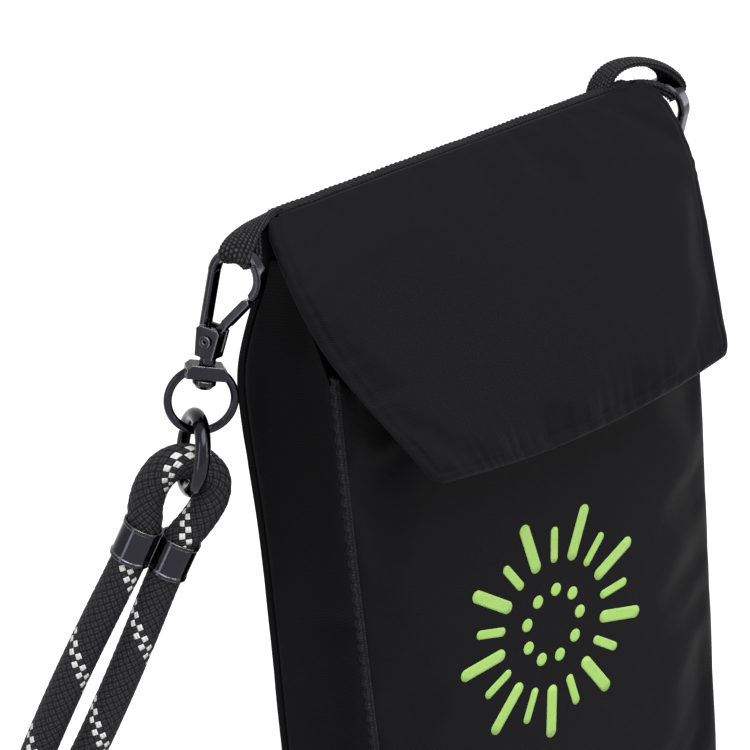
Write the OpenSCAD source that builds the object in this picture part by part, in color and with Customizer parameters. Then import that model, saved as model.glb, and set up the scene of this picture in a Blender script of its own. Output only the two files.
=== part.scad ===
/* [Pouch] */
// Width of the pouch across its front
pouch_w = 120; // [100:1:150]
// Height of the back panel, base to top tape
pouch_h = 190; // [160:1:230]
// Depth of the pouch, front face to back face at the side edges
pouch_d = 34; // [26:1:44]
// Thickness of the padded front and back panels at their edges
panel_t = 2.6; // [2:0.1:4]
// How far the padding swells a panel at its middle
puff = 3; // [1:0.1:4]
// How far below the top tape the front panel ends
mouth_drop = 41; // [36:1:60]
// Thickness of the folded side gusset cloth
gusset_t = 1.6; // [1:0.1:2.4]
// How far the side gusset folds inwards
gusset_fold = 9; // [4:0.5:14]
// Thickness of the base panel
base_t = 2.6; // [2:0.1:4]

/* [Flap] */
// How far the lower edge of the flap reaches forward of its hinge
flap_reach = 38.5; // [34:0.5:52]
// How far the lower edge of the flap hangs below its hinge
flap_fall = 60; // [50:1:75]
// How much narrower each side of the flap is at its lower edge
flap_taper = 11.2; // [4:0.2:20]
// How much wider each side of the flap is at its shoulders
flap_flare = 4.2; // [0:0.2:8]
// Thickness of the flap at its edges
flap_edge_t = 3; // [2:0.1:5]
// Padding that swells the flap at its middle
flap_puff = 3.6; // [1:0.1:5]
// Radius of the lower corners of the flap
flap_corner = 6; // [3:0.5:14]
// Diameter of the magnetic snap discs
magnet_d = 13; // [9:0.5:18]
// Thickness of each magnetic snap disc
magnet_t = 1.6; // [1:0.1:3]

/* [Webbing] */
// Width of the corner webbing where it leaves the pouch
web_w = 9; // [7:0.1:12]
// Thickness of the corner webbing
web_t = 1.4; // [1:0.1:1.8]
// Height of the tape along the top edge
tape_h = 4.4; // [3:0.1:7]
// Thickness of the cloth of that tape
tape_wall = 0.9; // [0.6:0.1:1.2]

/* [Snap hooks] */
// Clear width of the hook window
hook_window = 10; // [8.6:0.1:12]
// Thickness of the hook's bar, seen from the front
hook_arm = 1.9; // [1.6:0.1:2.6]
// Depth of the hook, front to back
hook_depth = 5; // [4.4:0.1:6]
// Distance from the top bar down to the gate rivet
hook_drop = 22.5; // [21:0.5:30]
// Diameter of the gate rivet
rivet_d = 2.2; // [1.8:0.1:2.6]
// Wire diameter of the swivel eye
eye_wire = 2; // [1.6:0.1:2.6]
// Inside diameter of the swivel eye
eye_in = 13.6; // [12.4:0.1:16]

/* [Gate rings] */
// Inside diameter of the ring that holds the rope
ring_in = 13.6; // [12.8:0.1:17]
// Wire diameter of the ring that holds the rope
ring_wire = 3.7; // [3:0.1:4.2]

/* [Rope and clamps] */
// Diameter of the rope
rope_d = 8.4; // [7.6:0.1:8.6]
// Distance between the two barrels of a clamp
clamp_pitch = 9.4; // [9.3:0.05:10.4]
// Outside diameter of a clamp barrel
clamp_d = 9.9; // [9.5:0.05:11]
// Height of a clamp
clamp_h = 9.4; // [7:0.1:12]

/* [Hidden] */

$fn = 48;
gap = 0.3;        // running gap between pieces that move
fit = 0.15;       // gap of a pin in its hole
seat = 0.05;      // gap of sewn layers that lie on each other
over = 1;         // overrun of a cut

cloth = "#202024";
cloth_dark = "#17171a";
webbing_colour = "#26262a";
metal = "#3a3a3e";
rope_colour = "#1b1b1d";

// Small vector helpers
function rot_x(p, a) = [p[0], p[1] * cos(a) - p[2] * sin(a), p[1] * sin(a) + p[2] * cos(a)];
function rot_y(p, a) = [p[0] * cos(a) + p[2] * sin(a), p[1], -p[0] * sin(a) + p[2] * cos(a)];
function rot_z(p, a) = [p[0] * cos(a) - p[1] * sin(a), p[0] * sin(a) + p[1] * cos(a), p[2]];
function turned(p, r) = rot_z(rot_y(rot_x(p, r[0]), r[1]), r[2]);
function unit(v) = v / norm(v);
function smooth(t) = let (c = min(1, max(0, t))) c * c * (3 - 2 * c);
function mix(a, b, t) = a + (b - a) * t;
function flat(rows) = [for (row = rows) each row];
function pillow(s) = 1 - pow(abs(s), 3);

// Tube along a route: one ring at each point, its frame carried along without twist
function tangents(p) = let (n = len(p)) [for (i = [0 : n - 1])
    unit(p[min(n - 1, i + 1)] - p[max(0, i - 1)])];
function carried(t, start) = [for (i = 0, v = start; i < len(t); i = i + 1,
    v = i < len(t) ? unit(v - (v * t[i]) * t[i]) : v) v];
function square_to(t) = let (up = abs(t[2]) > 0.9 ? [1, 0, 0] : [0, 0, 1]) unit(up - (up * t) * t);
function ring_rows(p, r, sides, turn = 0) = let (t = tangents(p), v = carried(t, square_to(t[0])))
    [for (i = [0 : len(p) - 1]) let (w = cross(t[i], v[i])) [for (k = [0 : sides - 1])
        let (a = turn + 360 * k / sides) p[i] + r * (cos(a) * v[i] + sin(a) * w)]];

module tube(p, r, sides, turn = 0) {
    rows = ring_rows(p, r, sides, turn);
    n = len(p);
    polyhedron(points = flat(rows), faces = concat(
        [for (i = [0 : n - 2], k = [0 : sides - 1]) let (m = (k + 1) % sides)
            [i * sides + k, (i + 1) * sides + k, (i + 1) * sides + m]],
        [for (i = [0 : n - 2], k = [0 : sides - 1]) let (m = (k + 1) % sides)
            [i * sides + k, (i + 1) * sides + m, i * sides + m]],
        [for (k = [1 : sides - 2]) [0, k, k + 1]],
        [for (k = [1 : sides - 2]) let (b = (n - 1) * sides) [b, b + k + 1, b + k]]
    ));
}

// Closed slab between two grids of points with the same rows and columns
module slab(front, back) {
    n = len(front);
    m = len(front[0]);
    s = n * m;
    polyhedron(points = concat(flat(front), flat(back)), faces = concat(
        [for (i = [0 : n - 2], j = [0 : m - 2]) let (a = i * m + j) [a, a + m, a + m + 1]],
        [for (i = [0 : n - 2], j = [0 : m - 2]) let (a = i * m + j) [a, a + m + 1, a + 1]],
        [for (i = [0 : n - 2], j = [0 : m - 2]) let (a = s + i * m + j) [a, a + m + 1, a + m]],
        [for (i = [0 : n - 2], j = [0 : m - 2]) let (a = s + i * m + j) [a, a + 1, a + m + 1]],
        [for (j = [0 : m - 2]) [j, j + 1, s + j + 1]],
        [for (j = [0 : m - 2]) [j, s + j + 1, s + j]],
        [for (j = [0 : m - 2]) let (a = (n - 1) * m + j) [a, s + a + 1, a + 1]],
        [for (j = [0 : m - 2]) let (a = (n - 1) * m + j) [a, s + a, s + a + 1]],
        [for (i = [0 : n - 2]) let (a = i * m) [a, s + a + m, a + m]],
        [for (i = [0 : n - 2]) let (a = i * m) [a, s + a, s + a + m]],
        [for (i = [0 : n - 2]) let (a = i * m + m - 1) [a, a + m, s + a + m]],
        [for (i = [0 : n - 2]) let (a = i * m + m - 1) [a, s + a + m, s + a]]
    ));
}

// Body of the pouch: the back leans forward over its top part to meet the flap
half_w = pouch_w / 2;
half_d = pouch_d / 2;
lean_h = 46;                       // height over which the back leans forward
top_y = 2.5;                       // where the back panel's inner face ends at the top
panel_rows = 12;
panel_cols = 12;
side_in = 0.6;                     // the panels stop this far inside the pouch's width
front_top = pouch_h - mouth_drop;
corner_rise = 6;                   // the front panel's top curves up to its corners
corner_power = 6;
function front_rise(j) = corner_rise * pow(abs(2 * j / panel_cols - 1), corner_power);
function back_y(z) = mix(half_d - panel_t, top_y, smooth((z - pouch_h + lean_h) / (lean_h - tape_h)));
function panel_x(j) = mix(-half_w + side_in, half_w - side_in, j / panel_cols);
// Rows are even up to the tape or hem, which the last row takes in
function panel_z(i, z_low, z_high) = i < panel_rows
    ? mix(z_low, z_high - tape_h, i / (panel_rows - 1)) : z_high;
function grid(y_of, z_low, z_high_of, h) = [for (i = [0 : panel_rows]) [for (j = [0 : panel_cols])
    let (z_high = z_high_of(j), z = panel_z(i, z_low, z_high)) [panel_x(j), y_of(z)
        + h * pillow(2 * j / panel_cols - 1) * pillow(2 * (z - z_low) / (z_high - z_low) - 1), z]]];
inner_share = 0.35;                // part of the padding that swells inwards

module back_panel() {
    color(cloth) slab(
        grid(function (z) back_y(z), base_t + seat, function (j) pouch_h, -puff * inner_share),
        grid(function (z) back_y(z) + panel_t, base_t + seat, function (j) pouch_h, puff));
}

module front_panel() {
    color(cloth) slab(
        grid(function (z) -half_d, base_t + seat, function (j) front_top + front_rise(j), -puff),
        grid(function (z) panel_t - half_d, base_t + seat, function (j) front_top + front_rise(j),
            puff * inner_share));
}

// Base: a flat panel with round corners, sewn to the four walls
base_corner = 7;
corner_steps = 8;
function round_rect(w, d, r) = [for (q = [0 : 3], s = [0 : corner_steps])
    let (a = 90 * q + 90 * s / corner_steps, cx = (q == 0 || q == 3 ? 1 : -1) * (w / 2 - r),
        cy = (q < 2 ? 1 : -1) * (d / 2 - r)) [cx + r * cos(a), cy + r * sin(a)]];

module base_panel() {
    color(cloth) linear_extrude(base_t) polygon(round_rect(pouch_w, pouch_d, base_corner));
}

// Side gusset: a strip folded inwards, its top cut back under the flap
gusset_over_shares = [0.34, 0.67, 1];
gusset_bend_share = 0.6;           // how far the fold's outer creases lie towards its middle
gusset_clear = 0.2;                // room for the back panel's padding
gusset_over = 31;                  // height of the gusset above the front panel
gusset_back = 3.4;                 // gap left at its top in front of the back panel
gusset_low = base_t + seat;
function back_rows() = [for (i = [0 : panel_rows]) let (z = panel_z(i, gusset_low, pouch_h)) [z, back_y(z)]];
function back_line(z) = lookup(z, back_rows());
gusset_top = front_top + gusset_over;
function gusset_levels() = concat([for (row = back_rows()) if (row[0] < front_top - gusset_fold) row[0]],
    [front_top], [for (s = gusset_over_shares) front_top + gusset_over * s]);
function gusset_front_y(z) = z <= front_top ? panel_t + seat - half_d
    : mix(panel_t + seat - half_d, back_line(gusset_top) - gusset_back, (z - front_top) / gusset_over);
function gusset_row(z, side, off) = let (
    yf = gusset_front_y(z), yb = back_line(z) - gusset_clear, ym = (yf + yb) / 2,
    full = smooth((yb - yf) / half_d), in = gusset_fold * full)
    [[side * (half_w - side_in - off), yf, z],
     [side * (half_w - side_in - in / 2 - off), mix(yf, ym, gusset_bend_share), z],
     [side * (half_w - side_in - in - off), ym, z],
     [side * (half_w - side_in - in / 2 - off), mix(yb, ym, gusset_bend_share), z],
     [side * (half_w - side_in - off), yb, z]];

module gusset(side) {
    levels = gusset_levels();
    outer = [for (z = levels) gusset_row(z, side, 0)];
    inner = [for (z = levels) gusset_row(z, side, gusset_t)];
    color(cloth_dark) if (side > 0) slab(outer, inner); else slab(inner, outer);
}

module left_gusset() {
    gusset(-1);
}

module right_gusset() {
    gusset(1);
}

// Bound seam down each front corner: a strip with one ridge to each stitch
binding_w = 2.2;
binding_t = 1.4;
ridge_pitch = 3.2;
ridge_h = 0.5;
binding_low = base_t + ridge_h * 2;
ridge_shares = [0.75, 0.4, 0.2];    // where each ridge's top and foot end within its pitch
function ridge_count() = floor((front_top + corner_rise - binding_low) / ridge_pitch);
function binding_outline() = concat(
    [[0, 0], [0, ridge_count() * ridge_pitch]],
    [for (k = [ridge_count() - 1 : -1 : 0]) each [
        [binding_t, (k + 1) * ridge_pitch], [binding_t + ridge_h, (k + ridge_shares[0]) * ridge_pitch],
        [binding_t + ridge_h, (k + ridge_shares[1]) * ridge_pitch],
        [binding_t, (k + ridge_shares[2]) * ridge_pitch]]],
    [[binding_t, 0]]);

module seam_binding(side) {
    color(webbing_colour) translate([side * (half_w - side_in + seat), -half_d, binding_low])
        mirror([side > 0 ? 0 : 1, 0, 0]) translate([0, binding_w, 0]) rotate([90, 0, 0])
        linear_extrude(binding_w) polygon(binding_outline());
}

module left_seam_binding() {
    seam_binding(-1);
}

module right_seam_binding() {
    seam_binding(1);
}

// Hem tape inside the mouth of the front panel
hem_h = 8;
hem_t = 1;
hem_in = 14;                       // the tape stops this far from each side

module front_hem() {
    color(webbing_colour) translate([hem_in - half_w, panel_t + puff * inner_share + seat - half_d,
        front_top - hem_h]) cube([pouch_w - 2 * hem_in, hem_t, hem_h]);
}

// Ribbed tape folded over the top edge of the back panel
tape_in = 3;                       // the tape stops this far from each side
tape_rib = 2.4;                    // pitch of its ribs
tape_cap = 1.1;                    // its height over the panel
tape_clear = 0.25;
tape_behind = 0.6;                 // room behind the panel, whose padding starts under the tape

module top_tape() {
    inner_w = panel_t + tape_clear + tape_behind;
    wide = pouch_w - 2 * tape_in;
    ribs = floor(wide / tape_rib);
    rib_l = wide / ribs;
    color(webbing_colour) translate([tape_in - half_w, top_y - tape_clear - tape_wall, 0]) difference() {
        union() {
            translate([0, 0, pouch_h + tape_cap - tape_h]) cube([wide, inner_w + 2 * tape_wall, tape_h]);
            for (k = [0 : ribs - 1]) translate([k * rib_l + rib_l / 4, tape_wall / 2, pouch_h + tape_cap])
                cube([rib_l / 2, inner_w + tape_wall, tape_rib / 8]);
        }
        translate([-over, tape_wall, pouch_h - tape_h - over])
            cube([pouch_w + 2 * over, inner_w, tape_h + over + seat]);
    }
}

// Flap: a padded roof from the top tape to a point well forward of the front panel
flap_rows = 12;
flap_cols = 14;
flap_top_t = 1.2;                  // thickness where the flap is sewn on
flap_swell_share = 0.14;           // part of its length over which it swells to its full thickness
hinge_y = top_y - tape_clear - tape_wall - gap - flap_top_t;
hinge_z = pouch_h - tape_cap / 2;
// Side profile of the flap's outer face, as shares of its reach and its fall
flap_mid_shares = [[0, 0], [0.14, 0.06], [0.3, 0.22], [0.49, 0.42], [0.69, 0.65], [0.87, 0.86], [1.03, 1.06]];
flap_side_shares = [
    [0.02, 0.02], [0.15, 0.1], [0.31, 0.26], [0.45, 0.44], [0.63, 0.63], [0.82, 0.82], [1, 1]
];
// Half width, from that of its lower edge at 0 to that of its shoulders at 1
flap_width_shares = [0.3, 0.7, 0.99, 1, 0.95, 0.86, 0.71, 0.52, 0.32, 0.12, -0.04];
function along(list, t) = let (x = t * (len(list) - 1), i = min(len(list) - 2, floor(x)), f = x - i,
    p0 = list[max(0, i - 1)], p1 = list[i], p2 = list[i + 1], p3 = list[min(len(list) - 1, i + 2)])
    0.5 * ((2 * p1) + (p2 - p0) * f + (2 * p0 - 5 * p1 + 4 * p2 - p3) * f * f
        + (3 * p1 - p0 - 3 * p2 + p3) * f * f * f);
function flap_half(u, low) = let (left = flap_corner - min(flap_corner, (1 - u) * low))
    mix(half_w - flap_taper, half_w + flap_flare, along(flap_width_shares, u))
        - (flap_corner - sqrt(flap_corner * flap_corner - left * left));
flap_len = sqrt(flap_reach * flap_reach + flap_fall * flap_fall);
function flap_point(u, s, depth) = let (
    m = along(flap_mid_shares, u), e = along(flap_side_shares, u), w = mix(m, e, s * s),
    edge = mix(flap_top_t, flap_edge_t, smooth(u / flap_swell_share)),
    t = depth * (edge + flap_puff * pillow(s) * pillow(2 * u - 1)), n = unit([flap_fall, flap_reach]))
    [s * flap_half(u, flap_len), hinge_y - flap_reach * w[0] + n[0] * t,
        hinge_z - flap_fall * w[1] - n[1] * t];
flap_start_share = 0.02;
flap_end_share = 0.965;
function flap_u(i) = mix(flap_start_share, flap_end_share, i / flap_rows);
function flap_grid(depth) = [for (i = [0 : flap_rows]) [for (j = [0 : flap_cols])
    flap_point(flap_u(i), 2 * j / flap_cols - 1, depth)]];

module flap_shell() {
    color(cloth) slab([for (i = [flap_rows : -1 : 0]) flap_grid(0)[i]],
        [for (i = [flap_rows : -1 : 0]) flap_grid(1)[i]]);
}

// Lining sewn under the flap, one row and column in from its edges
lining_t = 0.8;
lining_gap = 0.12;
flap_inward = unit([0, flap_fall, -flap_reach]);

module flap_lining() {
    rows = [for (i = [flap_rows - 1 : -1 : 1]) [for (j = [1 : flap_cols - 1]) flap_grid(1)[i][j]]];
    color(cloth_dark) slab([for (row = rows) [for (p = row) p + lining_gap * flap_inward]],
        [for (row = rows) [for (p = row) p + (lining_gap + lining_t) * flap_inward]]);
}

// Magnetic snap: a disc under the flap and its partner on the front panel
magnet_u_share = 0.8;
magnet_rim = 1.2;
snap_gap = 0.35;
snap_low = 13;                     // height of the front disc's centre below the front panel's top
snap_room = 0.6;                   // least room between the two discs
flap_slope = atan(flap_fall / flap_reach);
flap_snap = flap_point(flap_u(round(flap_rows * magnet_u_share)), 0, 1)
    + (lining_gap + lining_t + snap_gap) * flap_inward;

module snap_disc() {
    rotate_extrude() polygon([[0, 0], [magnet_d / 2, 0], [magnet_d / 2, magnet_t - magnet_t / 4],
        [magnet_d / 2 - magnet_rim / 2, magnet_t], [magnet_d / 2 - magnet_rim, magnet_t],
        [magnet_d / 2 - magnet_rim, magnet_t / 2], [0, magnet_t / 2]]);
}

module flap_magnet() {
    color(metal) translate(flap_snap) rotate([flap_slope - 180, 0, 0]) snap_disc();
}

function front_swell(z) = puff * pillow(2 * (z - base_t - seat) / (front_top - base_t - seat) - 1);

// The front disc sits below the mouth, and lower still where a short flap's disc would meet it
module front_magnet() {
    face_y = -half_d - front_swell(front_top - snap_low) - magnet_t - snap_room;
    under_flap = flap_snap[2] - magnet_d / 2
        + (face_y - flap_snap[1] - magnet_t / sin(flap_slope)) * tan(flap_slope);
    z = min(front_top - snap_low, under_flap);
    tilt = atan((front_swell(z - magnet_d / 2) - front_swell(z + magnet_d / 2)) / magnet_d);
    color(metal) translate([0, -half_d - front_swell(z) - 2 * seat, z]) rotate([90 - tilt, 0, 0]) snap_disc();
}

// Places of the hardware: where each swivel axis starts, and how it leans
left_out = 12.2;
left_fore = 2.5;
left_down = 3.2;
right_out = 11.6;
right_fore = -1;
right_down = 5;
left_top = [-half_w - left_out, left_fore, pouch_h - left_down];
right_top = [half_w + right_out, right_fore, pouch_h - right_down];
left_lean = [0, 14.5, -30];
right_lean = [3, -17, 90];
left_hook_turn = -40;
right_hook_turn = 18;
left_strap_lean = [0, 28, -39];
left_strap_shift = -0.8;           // the left rope loop hangs off-centre in its ring
right_strap_lean = [0, -10, 60];

// Snap hook, in its own frame: swivel axis on z, top bar at z = 0
bar_x = 3.9;                       // the arch's middle stands this far beside the axis
arch_in = hook_window / 2;
arch_z = -(arch_in + hook_arm / 2);
block_over = 3.4;                  // height of the block above the rivet
block_under = 4;                   // and below it
block_half = 3;                    // half its width at its top
block_in = 0.7;                    // how much narrower each side is at its bottom
block_top = block_over - hook_drop;
block_low = -hook_drop - block_under;
bottom_t = 1.5;
cheek_t = 1.1;
block_bevel = 0.8;
nose_angle = 33;                   // how far the arch goes on past its widest point, in degrees
rivet_x = 0;
arm_bevel = 0.5;
arm_in = 0.5;                      // the arm is this much shallower than the block on each face
arm_depth = hook_depth - 2 * arm_in;
pivot = [rivet_x, -hook_drop];
arch_r = arch_in + hook_arm / 2;
nose = [bar_x + arch_r * cos(nose_angle), arch_z - arch_r * sin(nose_angle)];
gate_angle = atan2(nose[0] - pivot[0], nose[1] - pivot[1]);
gate_len = norm(nose - pivot);
gate_t = hook_depth - 2 * cheek_t - 2 * fit;

module at_left() {
    translate(left_top) rotate(left_lean) children();
}

module at_right() {
    translate(right_top) rotate(right_lean) children();
}

module upright(depth) {
    translate([0, depth / 2, 0]) rotate([90, 0, 0]) linear_extrude(depth) children();
}

module arm_section(inset) {
    w = hook_arm / 2 - inset;
    d = arm_depth / 2 - inset;
    polygon([[-w, arm_bevel - d], [arm_bevel - w, -d], [w - arm_bevel, -d], [w, arm_bevel - d],
        [w, d - arm_bevel], [w - arm_bevel, d], [arm_bevel - w, d], [-w, d - arm_bevel]]);
}

module hook_frame() {
    color(metal) difference() {
        union() {
            translate([bar_x, 0, arch_z]) rotate([90, 0, 0]) rotate([0, 0, -nose_angle])
                rotate_extrude(angle = 180 + nose_angle) translate([arch_r, 0]) arm_section(0);
            translate([bar_x - arch_r, 0, block_top - over])
                linear_extrude(arch_z - block_top + over + gap) arm_section(seat);
            upright(hook_depth) polygon([
                [block_in - block_half, block_low], [block_half - block_in, block_low],
                [block_half, block_top - block_bevel], [block_half - block_bevel, block_top],
                [block_bevel - block_half, block_top], [-block_half, block_top - block_bevel]]);
        }
        translate([bar_x - arch_r, -gate_t / 2 - fit, block_low + bottom_t])
            cube([hook_window + hook_arm + over, gate_t + 2 * fit, block_top - block_low]);
        translate([rivet_x, 0, -hook_drop]) rotate([90, 0, 0])
            cylinder(d = rivet_d + 2 * seat, h = hook_depth + 2 * over, center = true);
        translate([0, 0, block_low - over]) cylinder(d = post_d + 2 * seat, h = bottom_t + 2 * over);
    }
}

gate_boss = 1.7;
gate_arm = 1.8;
gate_foot = 5.6;                   // the wide blade starts this far from the rivet
nose_gap = gap;
tail_share = 0.5;

module hook_gate_shape() {
    color(metal) translate([rivet_x, 0, -hook_drop]) rotate([0, gate_angle, 0]) difference() {
        union() {
            rotate([90, 0, 0]) cylinder(r = gate_boss, h = gate_t, center = true);
            upright(gate_t) polygon([[-gate_boss * tail_share, 0], [gate_boss, 0],
                [gate_arm / 2, gate_boss * 2], [gate_arm / 2, gate_foot + gate_arm],
                [-gate_arm / 2, gate_foot + gate_arm], [-gate_arm / 2, gate_boss * 2]]);
            upright(arm_depth) polygon([[-gate_arm / 2, gate_foot + gate_arm / 2], [gate_arm / 2, gate_foot],
                [gate_arm / 2, gate_len - hook_arm / 2 - nose_gap], [0, gate_len - nose_gap - hook_arm / 4],
                [-gate_arm / 2, gate_len - hook_arm]]);
        }
        rotate([90, 0, 0]) cylinder(d = rivet_d + 2 * fit, h = hook_depth, center = true);
    }
}

rivet_head = 0.6;
rivet_bore = 1;

module hook_rivet_shape() {
    color(metal) translate([rivet_x, 0, -hook_drop]) rotate([90, 0, 0]) difference() {
        union() {
            cylinder(d = rivet_d, h = hook_depth, center = true);
            for (s = [-1, 1]) translate([0, 0, s * (hook_depth + rivet_head) / 2])
                cylinder(d = rivet_d + rivet_head, h = rivet_head, center = true);
        }
        for (s = [0, 1]) mirror([0, 0, s]) translate([0, 0, hook_depth / 4])
            cylinder(d = rivet_bore, h = hook_depth);
    }
}

// Leaf spring in the block, its free end just behind the gate
leaf_t = 0.2;
leaf_w = 1.4;
leaf_x = -1.82;

module hook_spring_shape() {
    z0 = block_low + bottom_t + seat;
    color(metal) upright(leaf_w) polygon([[leaf_x - leaf_t, z0], [leaf_x, z0], [leaf_x, -hook_drop - leaf_t],
        [leaf_x + leaf_t, -hook_drop + gate_boss], [leaf_x, -hook_drop + gate_boss],
        [leaf_x - leaf_t, -hook_drop - leaf_t]]);
}

// Swivel: a headed post through the hook's bottom, and the eye that turns on it
post_d = 2.4;
collar_d = 3.8;
collar_h = 1.7;
band_w = 9.6;
band_h = 3.3;
band_d = 4.4;
head_d = 5.6;
head_h = 2.2;
band_top = block_low - collar_h - gap;
eye_r = eye_in / 2 + eye_wire / 2;
eye_z = band_top - eye_r - eye_wire / 2;
head_top = band_top - band_h - gap;

module swivel_post_shape() {
    color(metal) rotate_extrude() polygon([
        [0, block_low + bottom_t], [post_d / 2, block_low + bottom_t], [post_d / 2, block_low - seat],
        [collar_d / 2, block_low - seat], [collar_d / 2, block_low - collar_h],
        [post_d / 2, block_low - collar_h], [post_d / 2, head_top], [head_d / 2, head_top],
        [head_d / 2, head_top - head_h / 2],
        [head_d / 3, head_top - head_h], [0, head_top - head_h]]);
}

module swivel_eye_shape() {
    color(metal) difference() {
        union() {
            translate([0, 0, eye_z]) rotate([90, 0, 0]) rotate_extrude()
                translate([eye_r, 0]) circle(d = eye_wire);
            upright(band_d) polygon([[-band_w / 2, band_top - band_h], [band_w / 2, band_top - band_h],
                [band_w / 2, band_top - band_h / 3], [band_w / 2 - band_h / 3, band_top],
                [band_h / 3 - band_w / 2, band_top], [-band_w / 2, band_top - band_h / 3]]);
        }
        translate([0, 0, band_top - band_h - over]) cylinder(d = post_d + 2 * fit, h = band_h + 2 * over);
    }
}

// Gate ring: a round ring, open over one arc that a sprung gate closes
ring_r = ring_in / 2 + ring_wire / 2;
ring_z = eye_z - eye_in / 2 + gap - ring_in / 2;
left_ring_turn = 5;
right_ring_turn = -35;
ring_open = [-58, 14];             // where the open arc starts and ends, in degrees
lap = 22;                          // degrees that both wires reach past the slanted joint before it is cut
gate_wire_share = 0.84;
pin_share = 0.8;
gate_wire = ring_wire * gate_wire_share;
pin_d = 1;
tongue_t = 1.2;
pin_in = 9;                        // degrees from the open arc's start to the pin
start_gap = 7;                     // degrees of gap at the gate's hinged end

module in_ring(turn) {
    translate([0, 0, ring_z]) rotate([0, 0, turn]) rotate([0, 0, 90]) rotate([90, 0, 0]) children();
}

module arc_wire(a0, a1, d) {
    rotate([0, 0, a0]) rotate_extrude(angle = a1 - a0) translate([ring_r, 0]) circle(d = d);
}

module at_pin() {
    rotate([0, 0, ring_open[0] - pin_in]) translate([ring_r, 0, 0]) children();
}

// Block on one side of the slanted joint, whose faces lie along the gate's way in
module joint_block(side) {
    chord = (ring_open[1] + ring_open[0] - pin_in) / 2;
    rotate([0, 0, ring_open[1]]) translate([ring_r, 0, 0])
        rotate([0, 0, chord - ring_open[1]])
        translate([-ring_wire * 2, side > 0 ? -gap / 2 : gap / 2 - ring_wire * 2, -ring_wire])
        cube([ring_wire * 4, ring_wire * 2, ring_wire * 2]);
}

module ring_shape(turn) {
    color(metal) in_ring(turn) difference() {
        arc_wire(ring_open[1] - lap, ring_open[0] + 360, ring_wire);
        joint_block(-1);
        at_pin() {
            translate([-ring_wire / 2 - over, -ring_wire / 2 - fit, -tongue_t / 2 - fit])
                cube([ring_wire + 2 * over, ring_wire + over, tongue_t + 2 * fit]);
            cylinder(d = pin_d + 2 * seat, h = ring_wire + over, center = true);
        }
    }
}

module ring_gate_shape(turn) {
    color(metal) in_ring(turn) difference() {
        union() {
            arc_wire(ring_open[0] + start_gap, ring_open[1] + lap, gate_wire);
            at_pin() cylinder(d = ring_wire - 2 * fit, h = tongue_t, center = true);
            at_pin() translate([-gate_wire / 4, 0, -tongue_t / 2]) cube([gate_wire / 2, ring_wire, tongue_t]);
        }
        joint_block(1);
        at_pin() cylinder(d = pin_d + 2 * fit, h = ring_wire + over, center = true);
    }
}

module ring_pin_shape(turn) {
    color(metal) in_ring(turn) at_pin() cylinder(d = pin_d, h = ring_wire * pin_share, center = true);
}

// The strap's own frame starts at the middle of each ring's lowest wire
function ring_foot() = [0, 0, ring_z - ring_r];
left_foot = left_top + turned(ring_foot(), left_lean) + turned([left_strap_shift, 0, 0], left_strap_lean);
right_foot = right_top + turned(ring_foot(), right_lean);

module left_strap() {
    translate(left_foot) rotate(left_strap_lean) children();
}

module right_strap() {
    translate(right_foot) rotate(right_strap_lean) children();
}

// Double clamp: two barrels side by side, each with a rolled rim at both ends
rim = 0.2;
rim_h = 0.9;
ring_clamp_z = -17.4;
left_end_clamp_z = -98;
right_end_clamp_z = -62;
bore_gap = 0.2;

module double_clamp() {
    color(metal) difference() {
        union() for (s = [-1, 1]) translate([s * clamp_pitch / 2, 0, 0]) {
            cylinder(d = clamp_d - 2 * rim, h = clamp_h, center = true);
            for (e = [-1, 1]) translate([0, 0, e * (clamp_h - rim_h) / 2])
                cylinder(d = clamp_d, h = rim_h, center = true);
        }
        for (s = [-1, 1]) translate([s * clamp_pitch / 2, 0, 0])
            cylinder(d = rope_d + 2 * bore_gap, h = clamp_h + 2 * over, center = true);
    }
}

// Rope: its two ends are doubled round the rings, its middle is put away in a coil
rope_r = rope_d / 2;
rope_sides = 10;
// The left doubled run, in the left strap's frame
left_run = [
    [-4.7, 0, -104], [-4.7, 0, -92], [-5.5, 0, -78], [-5.7, 0, -58], [-5.2, 0, -38], [-4.7, 0, -25],
    [-4.7, 0, -13], [-6.4, 0, -7.5], [-6.8, 0, -2], [-5.6, 0, 2.6], [-3, 0, 5.4], [0.6, 0, 6.4],
    [3.6, 0, 5.8], [5.9, 0, 3.7], [7, 0, 0.2], [6.8, 0, -4], [5.8, 0, -9], [4.7, 0, -13], [4.7, 0, -25],
    [5.2, 0, -38], [5.7, 0, -58], [5.5, 0, -78], [4.7, 0, -92], [4.7, 0, -104]
];
// From the left end clamp down to the floor and behind the pouch to the coil, in the pouch's frame
left_floor = [
    [-124, 41.5, 27], [-127.3, 45, 19.6], [-130, 49.3, 13], [-131.7, 54.8, 8], [-131.4, 61, 5.1],
    [-127.5, 66.8, 4.25], [-120, 69.8, 4.2], [-109.5, 67, 4.2], [-96, 56, 4.2], [-80, 42.5, 4.2],
    [-62, 33.5, 4.2], [-40, 28, 4.2], [-15, 25.8, 4.2], [12, 24.6, 4.2], [38.24, 22.58, 4.2]
];
// From the middle of the coil up to the right end clamp, in the pouch's frame
right_floor = [
    [49.09, 54.56, 4.2], [52.7, 53.2, 4.9], [56.5, 51.8, 8.9], [60.3, 50, 14.3], [65.3, 46.4, 19.8],
    [70.8, 42.6, 27.5], [75.6, 38, 37.5], [77.4, 34.2, 49]
];
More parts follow.
